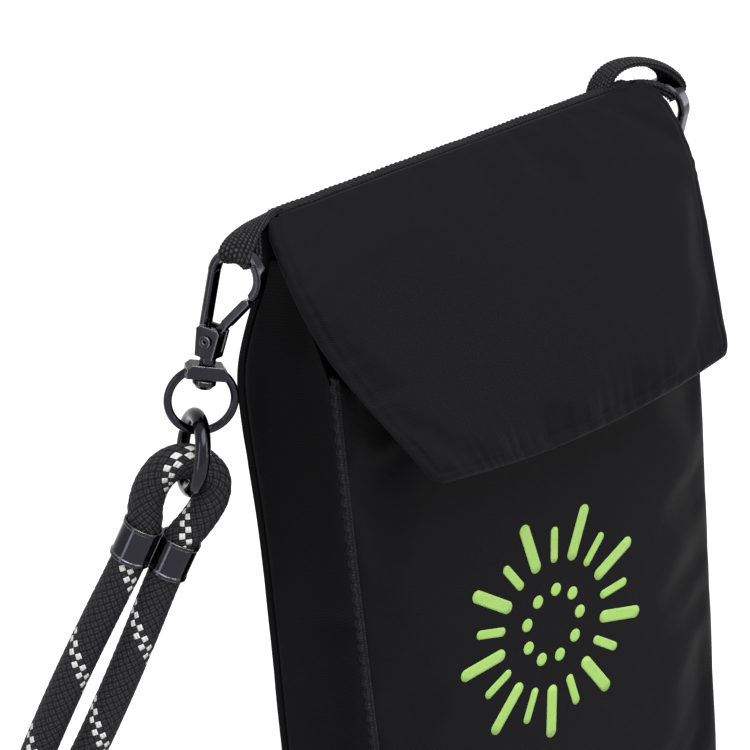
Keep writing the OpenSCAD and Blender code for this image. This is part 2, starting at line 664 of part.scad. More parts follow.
// The right doubled run, in the right strap's frame
right_run = [
    [4.7, 0, -68], [4.7, 0, -56], [5, 0, -40], [4.7, 0, -25], [4.7, 0, -13], [5.8, 0, -7], [6.4, 0, 0],
    [5.5, 0, 3.5], [3.1, 0, 5.9], [0, 0, 6.7], [-3.1, 0, 5.9], [-5.5, 0, 3.5], [-6.4, 0, 0],
    [-5.8, 0, -7], [-4.7, 0, -13], [-4.7, 0, -25], [-5, 0, -40], [-4.7, 0, -56], [-4.7, 0, -68]
];
left_route = concat([for (p = left_run) left_foot + turned(p, left_strap_lean)], left_floor);
right_route = concat(right_floor, [for (p = right_run) right_foot + turned(p, right_strap_lean)]);

// The rope drops into the middle of the coil and spirals outwards on the floor, behind the pouch
coil_centre = [46.5, 72];
coil_start_r = 15.5;
coil_pitch = 9;
coil_ease = 7.4;                   // extra growth over the first turn, where the rope comes down
coil_ease_turns = 0.9;
coil_start = 250;                  // where the coil starts, in degrees, turning clockwise
coil_turns = 2.944;
coil_rings = 24;
coil_sides = 6;
function coil_radius(t) = coil_start_r + coil_pitch * t + coil_ease * smooth(t / coil_ease_turns);
function coil_point(t) = let (a = coil_start - 360 * t) [
    coil_centre[0] + coil_radius(t) * cos(a), coil_centre[1] + coil_radius(t) * sin(a), rope_r];
function coil_way(t) = let (a = coil_start - 360 * t) [sin(a), -cos(a), 0];
coil_steps = round(coil_turns * coil_rings);
coil_route = concat([coil_point(0) - rope_d * coil_way(0)],
    [for (k = [0 : coil_steps]) coil_point(coil_turns * k / coil_steps)],
    [coil_point(coil_turns) + rope_d * coil_way(coil_turns)]);
coil_self_gap = min([for (i = [0 : len(coil_route) - 1], j = [0 : len(coil_route) - 1])
    if (j - i > coil_rings / 3) norm(coil_route[i] - coil_route[j])]) - rope_d;
echo(coil_self_gap = coil_self_gap, coil_end = coil_route[len(coil_route) - 1]);

module left_rope() {
    color(rope_colour) tube(left_route, rope_r, rope_sides);
}

module right_rope() {
    color(rope_colour) tube(right_route, rope_r, rope_sides);
}

module rope_coil() {
    color(rope_colour) tube(coil_route, rope_r, coil_sides);
}

// Corner loops of webbing: out over the corner, round the hook's arch, gathered inside it, and back
loop_fore = 4.8;                   // the loops start this far behind the back panel's inner face
loop_y = top_y + loop_fore;
bar_gap = 0.3;
loop_cols = 6;
lead_steps = 9;
wrap_steps = 8;
back_steps = 5;
spread = 44;                       // half the angle of the arch that the webbing covers, in degrees
// Outward and upward from the corner: the loop's start, its first handle, its end and the end's handle
left_loop_path = [[-19, 2.2], [-4, 4.6], [-1.6, 1.2], [2.5, 1.2]];
right_loop_path = [[-20, 2.2], [-6, 8.5], [-1.6, 1.2], [2, 4]];
left_rise = 7;                     // length of the handle at the arch
right_rise = 10;
back_rise_share = 0.55;
function bezier(a, b, c, d, t) = let (s = 1 - t)
    a * s * s * s + b * 3 * s * s * t + c * 3 * s * t * t + d * t * t * t;
function normal(g, i, j) = let (n = len(g) - 1, m = len(g[0]) - 1) unit(cross(
    g[min(n, i + 1)][j] - g[max(0, i - 1)][j], g[i][min(m, j + 1)] - g[i][max(0, j - 1)]));
function lifted(g, h) = [for (i = [0 : len(g) - 1]) [for (j = [0 : len(g[0]) - 1])
    g[i][j] + h * normal(g, i, j)]];

module corner_loop(side, path, rise, top, lean, hook_turn) {
    centre = top + turned(rot_z([bar_x, 0, arch_z], hook_turn), lean);
    x_way = turned(rot_z([1, 0, 0], hook_turn), lean);
    y_way = turned(rot_z([0, 1, 0], hook_turn), lean);
    z_way = turned([0, 0, 1], lean);
    out = y_way * (y_way[0] * side > 0 ? 1 : -1);
    across = [0, x_way[1] > 0 ? 1 : -1, 0];
    depth = arm_depth / 2 + bar_gap + web_t / 2;
    height = hook_arm / 2 + bar_gap + web_t / 2;
    corner = [side * half_w, loop_y, pouch_h];
    rows = concat(
        [for (k = [0 : lead_steps - 1]) [0, k / lead_steps]],
        [for (k = [0 : wrap_steps]) [1, 180 * k / wrap_steps]],
        [for (k = [1 : back_steps]) [2, k / back_steps]]);
    mid = [for (row = rows) [for (j = [0 : loop_cols])
        let (s = 2 * j / loop_cols - 1, away = sin(s * spread) * x_way + cos(s * spread) * z_way,
            wire = centre + arch_r * away, side_step = across * s * web_w / 2,
            at = [for (p = path) corner + [side * p[0], 0, p[1]] + side_step])
        row[0] == 0 ? bezier(at[0], at[1], wire + depth * out + rise * z_way, wire + depth * out, row[1])
            : row[0] == 1 ? wire + depth * cos(row[1]) * out - height * sin(row[1]) * away
            : bezier(wire - depth * out, wire - depth * out + rise * back_rise_share * z_way,
                at[3], at[2], row[1])]];
    color(webbing_colour) slab(lifted(mid, web_t / 2), lifted(mid, -web_t / 2));
}

module left_loop() {
    corner_loop(-1, left_loop_path, left_rise, left_top, left_lean, left_hook_turn);
}

module right_loop() {
    corner_loop(1, right_loop_path, right_rise, right_top, right_lean, right_hook_turn);
}

module left_hook() {
    at_left() rotate([0, 0, left_hook_turn]) hook_frame();
}

module left_hook_gate() {
    at_left() rotate([0, 0, left_hook_turn]) hook_gate_shape();
}

module left_hook_rivet() {
    at_left() rotate([0, 0, left_hook_turn]) hook_rivet_shape();
}

module left_hook_spring() {
    at_left() rotate([0, 0, left_hook_turn]) hook_spring_shape();
}

module left_swivel_post() {
    at_left() swivel_post_shape();
}

module left_swivel_eye() {
    at_left() swivel_eye_shape();
}

module left_ring() {
    at_left() ring_shape(left_ring_turn);
}

module left_ring_gate() {
    at_left() ring_gate_shape(left_ring_turn);
}

module left_ring_pin() {
    at_left() ring_pin_shape(left_ring_turn);
}

module left_ring_clamp() {
    left_strap() translate([0, 0, ring_clamp_z]) double_clamp();
}

module left_end_clamp() {
    left_strap() translate([0, 0, left_end_clamp_z]) double_clamp();
}

module right_hook() {
    at_right() rotate([0, 0, right_hook_turn]) hook_frame();
}

module right_hook_gate() {
    at_right() rotate([0, 0, right_hook_turn]) hook_gate_shape();
}

module right_hook_rivet() {
    at_right() rotate([0, 0, right_hook_turn]) hook_rivet_shape();
}

module right_hook_spring() {
    at_right() rotate([0, 0, right_hook_turn]) hook_spring_shape();
}

module right_swivel_post() {
    at_right() swivel_post_shape();
}

module right_swivel_eye() {
    at_right() swivel_eye_shape();
}

module right_ring() {
    at_right() ring_shape(right_ring_turn);
}

module right_ring_gate() {
    at_right() ring_gate_shape(right_ring_turn);
}

module right_ring_pin() {
    at_right() ring_pin_shape(right_ring_turn);
}

module right_ring_clamp() {
    right_strap() translate([0, 0, ring_clamp_z]) double_clamp();
}

module right_end_clamp() {
    right_strap() translate([0, 0, right_end_clamp_z]) double_clamp();
}

back_panel();
front_panel();
left_gusset();
right_gusset();
base_panel();
left_seam_binding();
right_seam_binding();
top_tape();
front_hem();
left_loop();
right_loop();
front_magnet();
flap_shell();
flap_lining();
flap_magnet();
left_hook();
left_hook_gate();
left_hook_rivet();
left_hook_spring();
left_swivel_post();
left_swivel_eye();
left_ring();
left_ring_gate();
left_ring_pin();
left_ring_clamp();
left_end_clamp();
right_hook();
right_hook_gate();
right_hook_rivet();
right_hook_spring();
right_swivel_post();
right_swivel_eye();
right_ring();
right_ring_gate();
right_ring_pin();
right_ring_clamp();
right_end_clamp();
left_rope();
rope_coil();
right_rope();
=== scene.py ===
import math

import bmesh
import bpy
import numpy as np
from mathutils import Euler, Matrix, Vector, noise


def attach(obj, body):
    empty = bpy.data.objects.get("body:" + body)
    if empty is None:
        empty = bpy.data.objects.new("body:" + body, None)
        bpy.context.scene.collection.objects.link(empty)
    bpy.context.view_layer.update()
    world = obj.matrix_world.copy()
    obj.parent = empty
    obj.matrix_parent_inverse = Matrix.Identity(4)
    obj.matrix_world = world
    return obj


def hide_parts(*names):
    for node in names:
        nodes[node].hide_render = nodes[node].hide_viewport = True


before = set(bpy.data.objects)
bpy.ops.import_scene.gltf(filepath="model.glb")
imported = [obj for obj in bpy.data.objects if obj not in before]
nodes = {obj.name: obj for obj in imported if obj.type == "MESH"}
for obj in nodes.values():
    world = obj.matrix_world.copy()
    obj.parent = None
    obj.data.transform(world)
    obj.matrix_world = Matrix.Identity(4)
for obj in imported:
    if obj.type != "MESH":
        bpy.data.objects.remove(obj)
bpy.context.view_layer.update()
scene = bpy.context.scene
mm = 0.001
print("frame loaded:", len(nodes), "nodes")


def addObject(name, data):
    obj = bpy.data.objects.new(name, data)
    scene.collection.objects.link(obj)
    return obj


# Camera, solved from the hardware's places in the photo
camera = {
    "azimuth": -39.35,          # degrees round the pouch, from its front
    "elevation": 23.136,
    "roll": -4.813,
    "distance": 0.8045,
    "focalPixels": 3292,
    "picture": 750,             # pixels wide, the picture that focal length is for
    "sensor": 36,               # mm
    "aimRight": -0.026408,      # the aim point, off the pouch's middle
    "aimUp": 0.038721,
    "aimHeight": 0.095,
}


def placeCamera(c):
    az, el, roll = (math.radians(c[k]) for k in ("azimuth", "elevation", "roll"))
    toCamera = Vector((math.sin(az) * math.cos(el), -math.cos(az) * math.cos(el), math.sin(el)))
    level = Vector((math.cos(az), math.sin(az), 0))
    up = level.cross(-toCamera)
    right = math.cos(roll) * level + math.sin(roll) * up
    up = math.cos(roll) * up - math.sin(roll) * level
    aim = Vector((0, 0, c["aimHeight"] + c["aimUp"])) + c["aimRight"] * level
    data = bpy.data.cameras.new("studio camera")
    data.sensor_fit = "HORIZONTAL"
    data.sensor_width = c["sensor"]
    data.lens = c["sensor"] * c["focalPixels"] / c["picture"]
    data.clip_start = 0.01
    data.clip_end = 20
    obj = addObject("studio camera", data)
    turn = Matrix((right, up, toCamera)).transposed()
    obj.matrix_world = Matrix.Translation(aim + toCamera * c["distance"]) @ turn.to_4x4()
    scene.camera = obj


placeCamera(camera)


def toLinear(hexColour):
    parts = [int(hexColour[i:i + 2], 16) / 255 for i in (1, 3, 5)]
    return [v / 12.92 if v <= 0.04045 else ((v + 0.055) / 1.055) ** 2.4 for v in parts] + [1]


# Links sockets, or writes plain values, into a node's inputs
def plug(tree, node, inputs):
    for key, value in inputs.items():
        if isinstance(value, bpy.types.NodeSocket):
            tree.links.new(value, node.inputs[key])
        else:
            node.inputs[key].default_value = value


def addNode(tree, kind, inputs=None, **settings):
    node = tree.nodes.new(kind)
    for key, value in settings.items():
        setattr(node, key, value)
    plug(tree, node, inputs or {})
    return node


# A short way to write arithmetic on shader values
def calculator(tree):
    def calc(operation, *values):
        return addNode(tree, "ShaderNodeMath", dict(enumerate(values)), operation=operation).outputs[0]

    return calc


def newMaterial(name):
    material = bpy.data.materials.new(name)
    material.use_nodes = True
    tree = material.node_tree
    return material, tree, tree.nodes["Principled BSDF"]


def smooth(t):
    t = min(1, max(0, t))
    return t * t * (3 - 2 * t)


def mix(a, b, t):
    return a + (b - a) * t


def leanOf(angles):
    return Euler([math.radians(a) for a in angles], "XYZ").to_matrix()


def smoothFaces(mesh):
    for face in mesh.polygons:
        face.use_smooth = True


def newPiece(name, points, faces, material, uv=None):
    mesh = bpy.data.meshes.new(name)
    mesh.from_pydata([tuple(c * mm for c in p) for p in points], [], faces)
    if uv is not None:
        layer = mesh.uv_layers.new(name="cloth")
        for loop in mesh.loops:
            layer.data[loop.index].uv = uv[loop.vertex_index]
    mesh.validate()
    obj = addObject(name, mesh)
    outward(obj)
    smoothFaces(mesh)
    mesh.materials.append(material)
    return obj


def outward(obj):
    bm = bmesh.new()
    bm.from_mesh(obj.data)
    bmesh.ops.recalc_face_normals(bm, faces=bm.faces)
    bm.to_mesh(obj.data)
    bm.free()


def gridFaces(rows, cols, start=0):
    return [(start + i * cols + j, start + (i + 1) * cols + j,
             start + (i + 1) * cols + j + 1, start + i * cols + j + 1)
            for i in range(rows - 1) for j in range(cols - 1)]


# Faces of a closed tube: one ring of points after another, and a cap at each end
def tubeFaces(rings, sides):
    faces = []
    for k in range(rings - 1):
        for n in range(sides):
            m = (n + 1) % sides
            faces.append((k * sides + n, k * sides + m, (k + 1) * sides + m, (k + 1) * sides + n))
    return faces + [tuple(range(sides - 1, -1, -1)), tuple(range((rings - 1) * sides, rings * sides))]


# Closed shell between two grids of points of one size
def shellOf(front, back):
    rows, cols = len(front), len(front[0])
    size = rows * cols
    points = [p for row in front + back for p in row]
    faces = gridFaces(rows, cols) + [f[::-1] for f in gridFaces(rows, cols, size)]
    rim = list(range(cols)) + [i * cols + cols - 1 for i in range(1, rows)]
    rim += [(rows - 1) * cols + j for j in range(cols - 2, -1, -1)] + [i * cols for i in range(rows - 2, 0, -1)]
    for a, b in zip(rim, rim[1:] + rim[:1]):
        faces.append((a, b, b + size, a + size))
    return points, faces


# Curve through points, sampled about every step
def throughPoints(points, step):
    pts = [np.array(p, float) for p in points]
    pts = [2 * pts[0] - pts[1]] + pts + [2 * pts[-1] - pts[-2]]
    out = []
    for k in range(1, len(pts) - 2):
        p0, p1, p2, p3 = pts[k - 1:k + 3]
        t0 = 0
        t1 = t0 + np.linalg.norm(p1 - p0) ** 0.5
        t2 = t1 + np.linalg.norm(p2 - p1) ** 0.5
        t3 = t2 + np.linalg.norm(p3 - p2) ** 0.5
        count = max(1, round(np.linalg.norm(p2 - p1) / step))
        for n in range(count):
            t = t1 + (t2 - t1) * n / count
            a1 = (t1 - t) / (t1 - t0) * p0 + (t - t0) / (t1 - t0) * p1
            a2 = (t2 - t) / (t2 - t1) * p1 + (t - t1) / (t2 - t1) * p2
            a3 = (t3 - t) / (t3 - t2) * p2 + (t - t2) / (t3 - t2) * p3
            b1 = (t2 - t) / (t2 - t0) * a1 + (t - t0) / (t2 - t0) * a2
            b2 = (t3 - t) / (t3 - t1) * a2 + (t - t1) / (t3 - t1) * a3
            out.append((t2 - t) / (t2 - t1) * b1 + (t - t1) / (t2 - t1) * b2)
    return out + [pts[-2]]


bandGap = 0.444     # m between the diagonal bands of a wave texture of scale 1, in a plane along two axes

nylonTwill = {
    "colour": "#0f0f11", "worn": "#1c1c1f",
    "threadSpacing": 0.5,       # mm, the real 0.25 drawn coarser so that it shows
    "threadHeight": 0.07,       # mm
    "roughness": 0.5, "specular": 0.04,
}


def twillThreads(tree, place, spacing, detail):
    return addNode(tree, "ShaderNodeTexWave", {
        "Vector": place.outputs["Object"], "Scale": bandGap / (spacing * mm),
        "Distortion": 0.8, "Detail": detail, "Detail Scale": 0.25},
        wave_type="BANDS", bands_direction="DIAGONAL").outputs["Fac"]


# Nylon twill, dyed and calendered: fine diagonal lines under a faint cloudiness
def makeTwill(name, f, crinkle=0.12):
    material, tree, shader = newMaterial(name)
    place = addNode(tree, "ShaderNodeTexCoord")
    threads = twillThreads(tree, place, f["threadSpacing"], 1.0)
    cloud = addNode(tree, "ShaderNodeTexNoise", {
        "Vector": place.outputs["Object"], "Scale": 22.0, "Detail": 3.0, "Roughness": 0.55})
    fine = addNode(tree, "ShaderNodeTexNoise", {
        "Vector": place.outputs["Object"], "Scale": 900.0, "Detail": 2.0})
    tone = addNode(tree, "ShaderNodeMath", {0: cloud.outputs["Fac"], 1: threads},
                   operation="MULTIPLY")
    colour = addNode(tree, "ShaderNodeMix", {
        "Factor": tone.outputs[0], "A": toLinear(f["colour"]), "B": toLinear(f["worn"])},
        data_type="RGBA")
    rough = addNode(tree, "ShaderNodeMapRange", {
        "Value": cloud.outputs["Fac"], "From Min": 0.3, "From Max": 0.7,
        "To Min": f["roughness"] - 0.05, "To Max": f["roughness"] + 0.07})
    weave = addNode(tree, "ShaderNodeBump", {
        "Strength": 0.55, "Distance": f["threadHeight"] * mm, "Height": threads})
    grain = addNode(tree, "ShaderNodeBump", {
        "Strength": 0.35, "Distance": 0.03 * mm, "Height": fine.outputs["Fac"],
        "Normal": weave.outputs["Normal"]})
    crinkles = addNode(tree, "ShaderNodeTexNoise", {
        "Vector": place.outputs["Object"], "Scale": 75.0, "Detail": 4.0, "Roughness": 0.6,
        "Distortion": 0.8})
    puckers = addNode(tree, "ShaderNodeBump", {
        "Strength": 1.0, "Distance": crinkle * mm, "Height": crinkles.outputs["Fac"],
        "Normal": grain.outputs["Normal"]})
    plug(tree, shader, {
        "Base Color": colour.outputs["Result"], "Roughness": rough.outputs["Result"],
        "Normal": puckers.outputs["Normal"], "Specular IOR Level": f["specular"]})
    return material


twill = makeTwill("nylon twill", nylonTwill)
taffeta = makeTwill("nylon taffeta lining", dict(
    nylonTwill, colour="#0b0b0d", worn="#151518", threadSpacing=0.4, roughness=0.45), 0.2)

knittedWebbing = {
    "colour": "#070708", "ridge": "#55555a",
    "wale": 1.1,                # mm between the columns of loops
    "course": 0.95,             # mm between the rows
    "height": 0.32,
    "roughness": 0.68, "specular": 0.12,
}


# Height of a coarse knit of grains, each column half a stitch off its neighbour: 1 on a thread, 0 between
def knitHeight(u, v, f):
    column = math.floor(u / f["wale"])
    x = u / f["wale"] - column - 0.5
    y = (v / f["course"] + 0.5 * (column % 2)) % 1 - 0.5
    return max(0, 1 - 4 * x * x) * max(0, 1 - 4 * y * y) ** 0.6


# Polyester webbing, coarse knit: grains of thread with paler tops
def makeWebbing(name, f):
    material, tree, shader = newMaterial(name)
    place = addNode(tree, "ShaderNodeUVMap", uv_map="cloth")
    parts = addNode(tree, "ShaderNodeSeparateXYZ", {"Vector": place.outputs["UV"]})
    calc = calculator(tree)
    across = calc("DIVIDE", parts.outputs["X"], f["wale"])
    column = calc("FLOOR", across)
    x = calc("SUBTRACT", calc("SUBTRACT", across, column), 0.5)
    shift = calc("MULTIPLY", calc("FLOORED_MODULO", column, 2.0), 0.5)
    row = calc("ADD", calc("DIVIDE", parts.outputs["Y"], f["course"]), shift)
    y = calc("SUBTRACT", calc("FRACT", row), 0.5)
    wide = calc("SUBTRACT", 1.0, calc("MULTIPLY", calc("MULTIPLY", x, x), 4.0))
    long = calc("POWER", calc("SUBTRACT", 1.0, calc("MULTIPLY", calc("MULTIPLY", y, y), 4.0)), 0.6)
    stitch = calc("MULTIPLY", wide, long)
    plies = calc("SINE", calc("MULTIPLY", calc("ADD", x, calc("MULTIPLY", y, 0.7)), 20.0))
    fuzz = addNode(tree, "ShaderNodeTexNoise", {"Vector": place.outputs["UV"], "Scale": 1.3, "Detail": 4.0})
    height = calc("ADD", calc("MULTIPLY_ADD", plies, 0.12, stitch), fuzz.outputs["Fac"])
    bump = addNode(tree, "ShaderNodeBump", {
        "Strength": 1.0, "Distance": f["height"] * mm, "Height": height})
    patchy = addNode(tree, "ShaderNodeMapRange", {
        "Value": fuzz.outputs["Fac"], "From Min": 0.35, "From Max": 0.65, "To Min": 0.25, "To Max": 1.0})
    colour = addNode(tree, "ShaderNodeMix", {
        "Factor": calc("MULTIPLY", calc("POWER", stitch, 1.4), patchy.outputs["Result"]),
        "A": toLinear(f["colour"]), "B": toLinear(f["ridge"])}, data_type="RGBA")
    plug(tree, shader, {
        "Base Color": colour.outputs["Result"], "Normal": bump.outputs["Normal"],
        "Roughness": f["roughness"], "Specular IOR Level": f["specular"]})
    return material


webbing = makeWebbing("knitted polyester webbing", knittedWebbing)
overlock = makeWebbing("overlocked polyester thread", dict(
    knittedWebbing, wale=1.6, course=0.7, ridge="#333338", height=0.25))

polyesterBraid = {
    "colour": "#08080a", "ridge": "#404044", "tracer": "#f6f6f4",
    "yarns": 12,                # in each of the two directions, round the rope
    "climb": 0.432,             # yarns crossed per mm of rope, which gives about 45 degrees
    "phase": 12.42,             # where the tracer starts, as the photo has it
    "tracerYarns": 2,
    "height": 0.42,             # mm
    "roughness": 0.6, "specular": 0.12,
}


# Polyester braid of doubled yarns, one over one at 45 degrees: rice grains, and a checked white tracer
def makeBraid(name, f):
    material, tree, shader = newMaterial(name)
    place = addNode(tree, "ShaderNodeUVMap", uv_map="cloth")
    parts = addNode(tree, "ShaderNodeSeparateXYZ", {"Vector": place.outputs["UV"]})
    calc = calculator(tree)
    across, along = parts.outputs["X"], parts.outputs["Y"]
    column, pick = calc("FLOOR", across), calc("FLOOR", along)
    x = calc("SUBTRACT", calc("SUBTRACT", across, column), 0.5)
    y = calc("SUBTRACT", calc("SUBTRACT", along, pick), 0.5)
    under = calc("FLOORED_MODULO", calc("ADD", column, pick), 2.0)
    over = calc("SUBTRACT", 1.0, under)
    a = calc("ADD", calc("MULTIPLY", x, over), calc("MULTIPLY", y, under))      # across the upper yarn
    b = calc("ADD", calc("MULTIPLY", y, over), calc("MULTIPLY", x, under))      # along it
    grain = calc("SUBTRACT", 1.0, calc("ADD", calc("MULTIPLY", calc("MULTIPLY", a, a), 2.6),
                                       calc("MULTIPLY", calc("MULTIPLY", b, b), 2.9)))
    dome = calc("POWER", calc("MAXIMUM", grain, 0.0), 0.6)
    pair = calc("ABSOLUTE", calc("SINE", calc("MULTIPLY", a, 2 * math.pi)))
    split = calc("MULTIPLY", dome, calc("MULTIPLY_ADD", pair, 0.75, 0.25))
    fibre = calc("MULTIPLY", calc("SINE", calc("MULTIPLY", a, 40.0)), 0.05)
    bump = addNode(tree, "ShaderNodeBump", {
        "Strength": 1.0, "Distance": f["height"] * mm, "Height": calc("ADD", split, fibre)})
    inTracer = calc("LESS_THAN", calc("FLOORED_MODULO", column, float(f["yarns"])), f["tracerYarns"] - 0.5)
    white = calc("MULTIPLY", inTracer, over)
    edge = calc("LESS_THAN", calc("MAXIMUM", calc("ABSOLUTE", x), calc("ABSOLUTE", y)), 0.45)
    dark = addNode(tree, "ShaderNodeMix", {
        "Factor": calc("POWER", split, 1.5), "A": toLinear(f["colour"]), "B": toLinear(f["ridge"])},
        data_type="RGBA")
    colour = addNode(tree, "ShaderNodeMix", {
        "Factor": calc("MULTIPLY", white, edge), "A": dark.outputs["Result"], "B": toLinear(f["tracer"])},
        data_type="RGBA")
    plug(tree, shader, {
        "Base Color": colour.outputs["Result"], "Normal": bump.outputs["Normal"],
        "Roughness": f["roughness"], "Specular IOR Level": f["specular"]})
    return material


braid = makeBraid("polyester braid", polyesterBraid)

# The paler second colour of black nickel is a painted highlight, standing in for the bright lines that lamps draw on
# rounded edges
blackNickel = {"colour": "#2a2a2f", "rubbed": "#77777c", "roughness": 0.1, "bevel": 0.5, "grainSize": 0.4}


# Black nickel plate on cast zinc, polished: a dark mirror, with a painted highlight along its edges, where the colour
# turns paler
def makeNickel(name, f):
    material, tree, shader = newMaterial(name)
    place = addNode(tree, "ShaderNodeTexCoord")
    cloud = addNode(tree, "ShaderNodeTexNoise", {
        "Vector": place.outputs["Object"], "Scale": 120.0, "Detail": 4.0})
    rough = addNode(tree, "ShaderNodeMapRange", {
        "Value": cloud.outputs["Fac"], "From Min": 0.3, "From Max": 0.7,
        "To Min": f["roughness"] - 0.04, "To Max": f["roughness"] + 0.06})
    edges = addNode(tree, "ShaderNodeBevel", {"Radius": f["bevel"] * mm}, samples=6)
    ripple = addNode(tree, "ShaderNodeTexNoise", {
        "Vector": place.outputs["Object"], "Scale": 1 / (f["grainSize"] * mm), "Detail": 1.0})
    cast = addNode(tree, "ShaderNodeBump", {
        "Strength": 0.25, "Distance": 0.01 * mm, "Height": ripple.outputs["Fac"],
        "Normal": edges.outputs["Normal"]})
    flat = addNode(tree, "ShaderNodeNewGeometry")
    turned = addNode(tree, "ShaderNodeVectorMath", {
        0: edges.outputs["Normal"], 1: flat.outputs["True Normal"]}, operation="DOT_PRODUCT")
    # Painted highlight: the colour goes paler wherever the bevelled normal turns away from the face's own normal,
    # along every edge
    worn = addNode(tree, "ShaderNodeMapRange", {
        "Value": turned.outputs["Value"], "From Min": 0.97, "From Max": 0.8, "To Min": 0.0, "To Max": 1.0})
    colour = addNode(tree, "ShaderNodeMix", {
        "Factor": worn.outputs["Result"], "A": toLinear(f["colour"]), "B": toLinear(f["rubbed"])}, data_type="RGBA")
    plug(tree, shader, {
        "Base Color": colour.outputs["Result"], "Roughness": rough.outputs["Result"],
        "Normal": cast.outputs["Normal"], "Metallic": 1.0})
    return material


nickel = makeNickel("black nickel plate", blackNickel)
for name, node in nodes.items():
    if any(word in name for word in ("hook", "swivel", "ring", "clamp", "magnet")):
        node.data.materials.clear()
        node.data.materials.append(nickel)
print("materials made")


rope = {
    "diameter": 8.4, "sides": 60, "sunk": 0.12, "lump": 0.16, "seenStep": 0.55, "restStep": 2.2,
    "leftFoot": (-85.5964, 10.3620, 129.8128), "leftLean": (0, 28, -39),
    "rightFoot": (68.4991, 16.2993, 128.4166), "rightLean": (0, -10, 60),
    "leftRun": [
        (-4.7, 0, -104), (-4.7, 0, -92), (-5.5, 0, -78), (-5.7, 0, -58), (-5.2, 0, -38), (-4.7, 0, -25),
        (-4.7, 0, -13), (-6.4, 0, -7.5), (-6.8, 0, -2), (-5.6, 0, 2.6), (-3, 0, 5.4), (0.6, 0, 6.4),
        (3.6, 0, 5.8), (5.9, 0, 3.7), (7, 0, 0.2), (6.8, 0, -4), (5.8, 0, -9), (4.7, 0, -13), (4.7, 0, -25),
        (5.2, 0, -38), (5.7, 0, -58), (5.5, 0, -78), (4.7, 0, -92), (4.7, 0, -104)],
    "leftFloor": [
        (-124, 41.5, 27), (-127.3, 45, 19.6), (-130, 49.3, 13), (-131.7, 54.8, 8), (-131.4, 61, 5.1),
        (-127.5, 66.8, 4.25), (-120, 69.8, 4.2), (-109.5, 67, 4.2), (-96, 56, 4.2), (-80, 42.5, 4.2),
        (-62, 33.5, 4.2), (-40, 28, 4.2), (-15, 25.8, 4.2), (12, 24.6, 4.2), (38.24, 22.58, 4.2)],
    "rightFloor": [
        (49.09, 54.56, 4.2), (52.7, 53.2, 4.9), (56.5, 51.8, 8.9), (60.3, 50, 14.3), (65.3, 46.4, 19.8),
        (70.8, 42.6, 27.5), (75.6, 38, 37.5), (77.4, 34.2, 49)],
    "rightRun": [
        (4.7, 0, -68), (4.7, 0, -56), (5, 0, -40), (4.7, 0, -25), (4.7, 0, -13), (5.8, 0, -7), (6.4, 0, 0),
        (5.5, 0, 3.5), (3.1, 0, 5.9), (0, 0, 6.7), (-3.1, 0, 5.9), (-5.5, 0, 3.5), (-6.4, 0, 0),
        (-5.8, 0, -7), (-4.7, 0, -13), (-4.7, 0, -25), (-5, 0, -40), (-4.7, 0, -56), (-4.7, 0, -68)],
    "coilCentre": (46.5, 72), "coilStart": 15.5, "coilPitch": 9, "coilEase": 7.4, "easeTurns": 0.9,
    "startAngle": 250, "turns": 2.944, "turnSteps": 24,
}


# A flat coil, from its outer end to where the rope goes up from its middle
def coilPoints(r):
    points = []
    steps = round(r["turns"] * r["turnSteps"])
    for k in range(steps + 1):
        t = r["turns"] * k / steps
        radius = r["coilStart"] + r["coilPitch"] * t + r["coilEase"] * smooth(t / r["easeTurns"])
        a = math.radians(r["startAngle"] - 360 * t)
        points.append((r["coilCentre"][0] + radius * math.cos(a), r["coilCentre"][1] + radius * math.sin(a),
                       r["diameter"] / 2))
    return points[::-1]


def ropeRoute(r):
    left = [tuple(Vector(r["leftFoot"]) + leanOf(r["leftLean"]) @ Vector(p)) for p in r["leftRun"]]
    right = [tuple(Vector(r["rightFoot"]) + leanOf(r["rightLean"]) @ Vector(p)) for p in r["rightRun"]]
    return left, r["leftFloor"] + coilPoints(r) + r["rightFloor"], right


def makeRope(r, f):
    left, middle, right = ropeRoute(r)
    seen = throughPoints(left, r["seenStep"])
    rest = throughPoints([left[-2], left[-1]] + middle + right, r["restStep"])
    skip = min(range(len(rest)), key=lambda k: np.linalg.norm(rest[k] - seen[-1]))
    path = seen + rest[skip + 2:]
    count = len(path)
    ways = [path[min(count - 1, k + 1)] - path[max(0, k - 1)] for k in range(count)]
    ways = [w / np.linalg.norm(w) for w in ways]
    side = np.cross(ways[0], (0, 1, 0))
    points, climbs, loops = [], [], []
    run, sides = 0.0, r["sides"]
    radius = r["diameter"] / 2 - r["sunk"]
    for k, (p, w) in enumerate(zip(path, ways)):
        run += np.linalg.norm(p - path[k - 1]) if k else 0
        side = side - np.dot(side, w) * w
        side /= np.linalg.norm(side)
        other = np.cross(w, side)
        climb = f["climb"] * run
        for n in range(sides):
            a = 2 * math.pi * n / sides
            turn = f["yarns"] * n / sides
            x, y = (turn + climb + f["phase"]) % 1 - 0.5, (turn - climb) % 1 - 0.5
            lump = r["lump"] * math.cos(math.pi * x) * math.cos(math.pi * y)
            points.append(p + (radius + lump) * (math.cos(a) * side + math.sin(a) * other))
        climbs.append(climb)
    for low, high in zip(climbs, climbs[1:]):
        for n in range(sides):
            t0, t1 = f["yarns"] * n / sides, f["yarns"] * (n + 1) / sides
            loops += [(t + c + f["phase"], t - c) for t, c in ((t0, low), (t1, low), (t1, high), (t0, high))]
    loops += [(0.5, 0.5)] * (2 * sides)
    mesh = bpy.data.meshes.new("rope")
    mesh.from_pydata([tuple(c * mm for c in p) for p in points], [], tubeFaces(count, sides))
    layer = mesh.uv_layers.new(name="cloth")
    for data, value in zip(layer.data, loops):
        data.uv = value
    smoothFaces(mesh)
    mesh.materials.append(braid)
    obj = addObject("rope", mesh)
    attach(obj, "pouch")
    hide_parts("left_rope", "rope_coil", "right_rope")
    line = [[float(c) * mm for c in p] for p in path]


makeRope(rope, polyesterBraid)


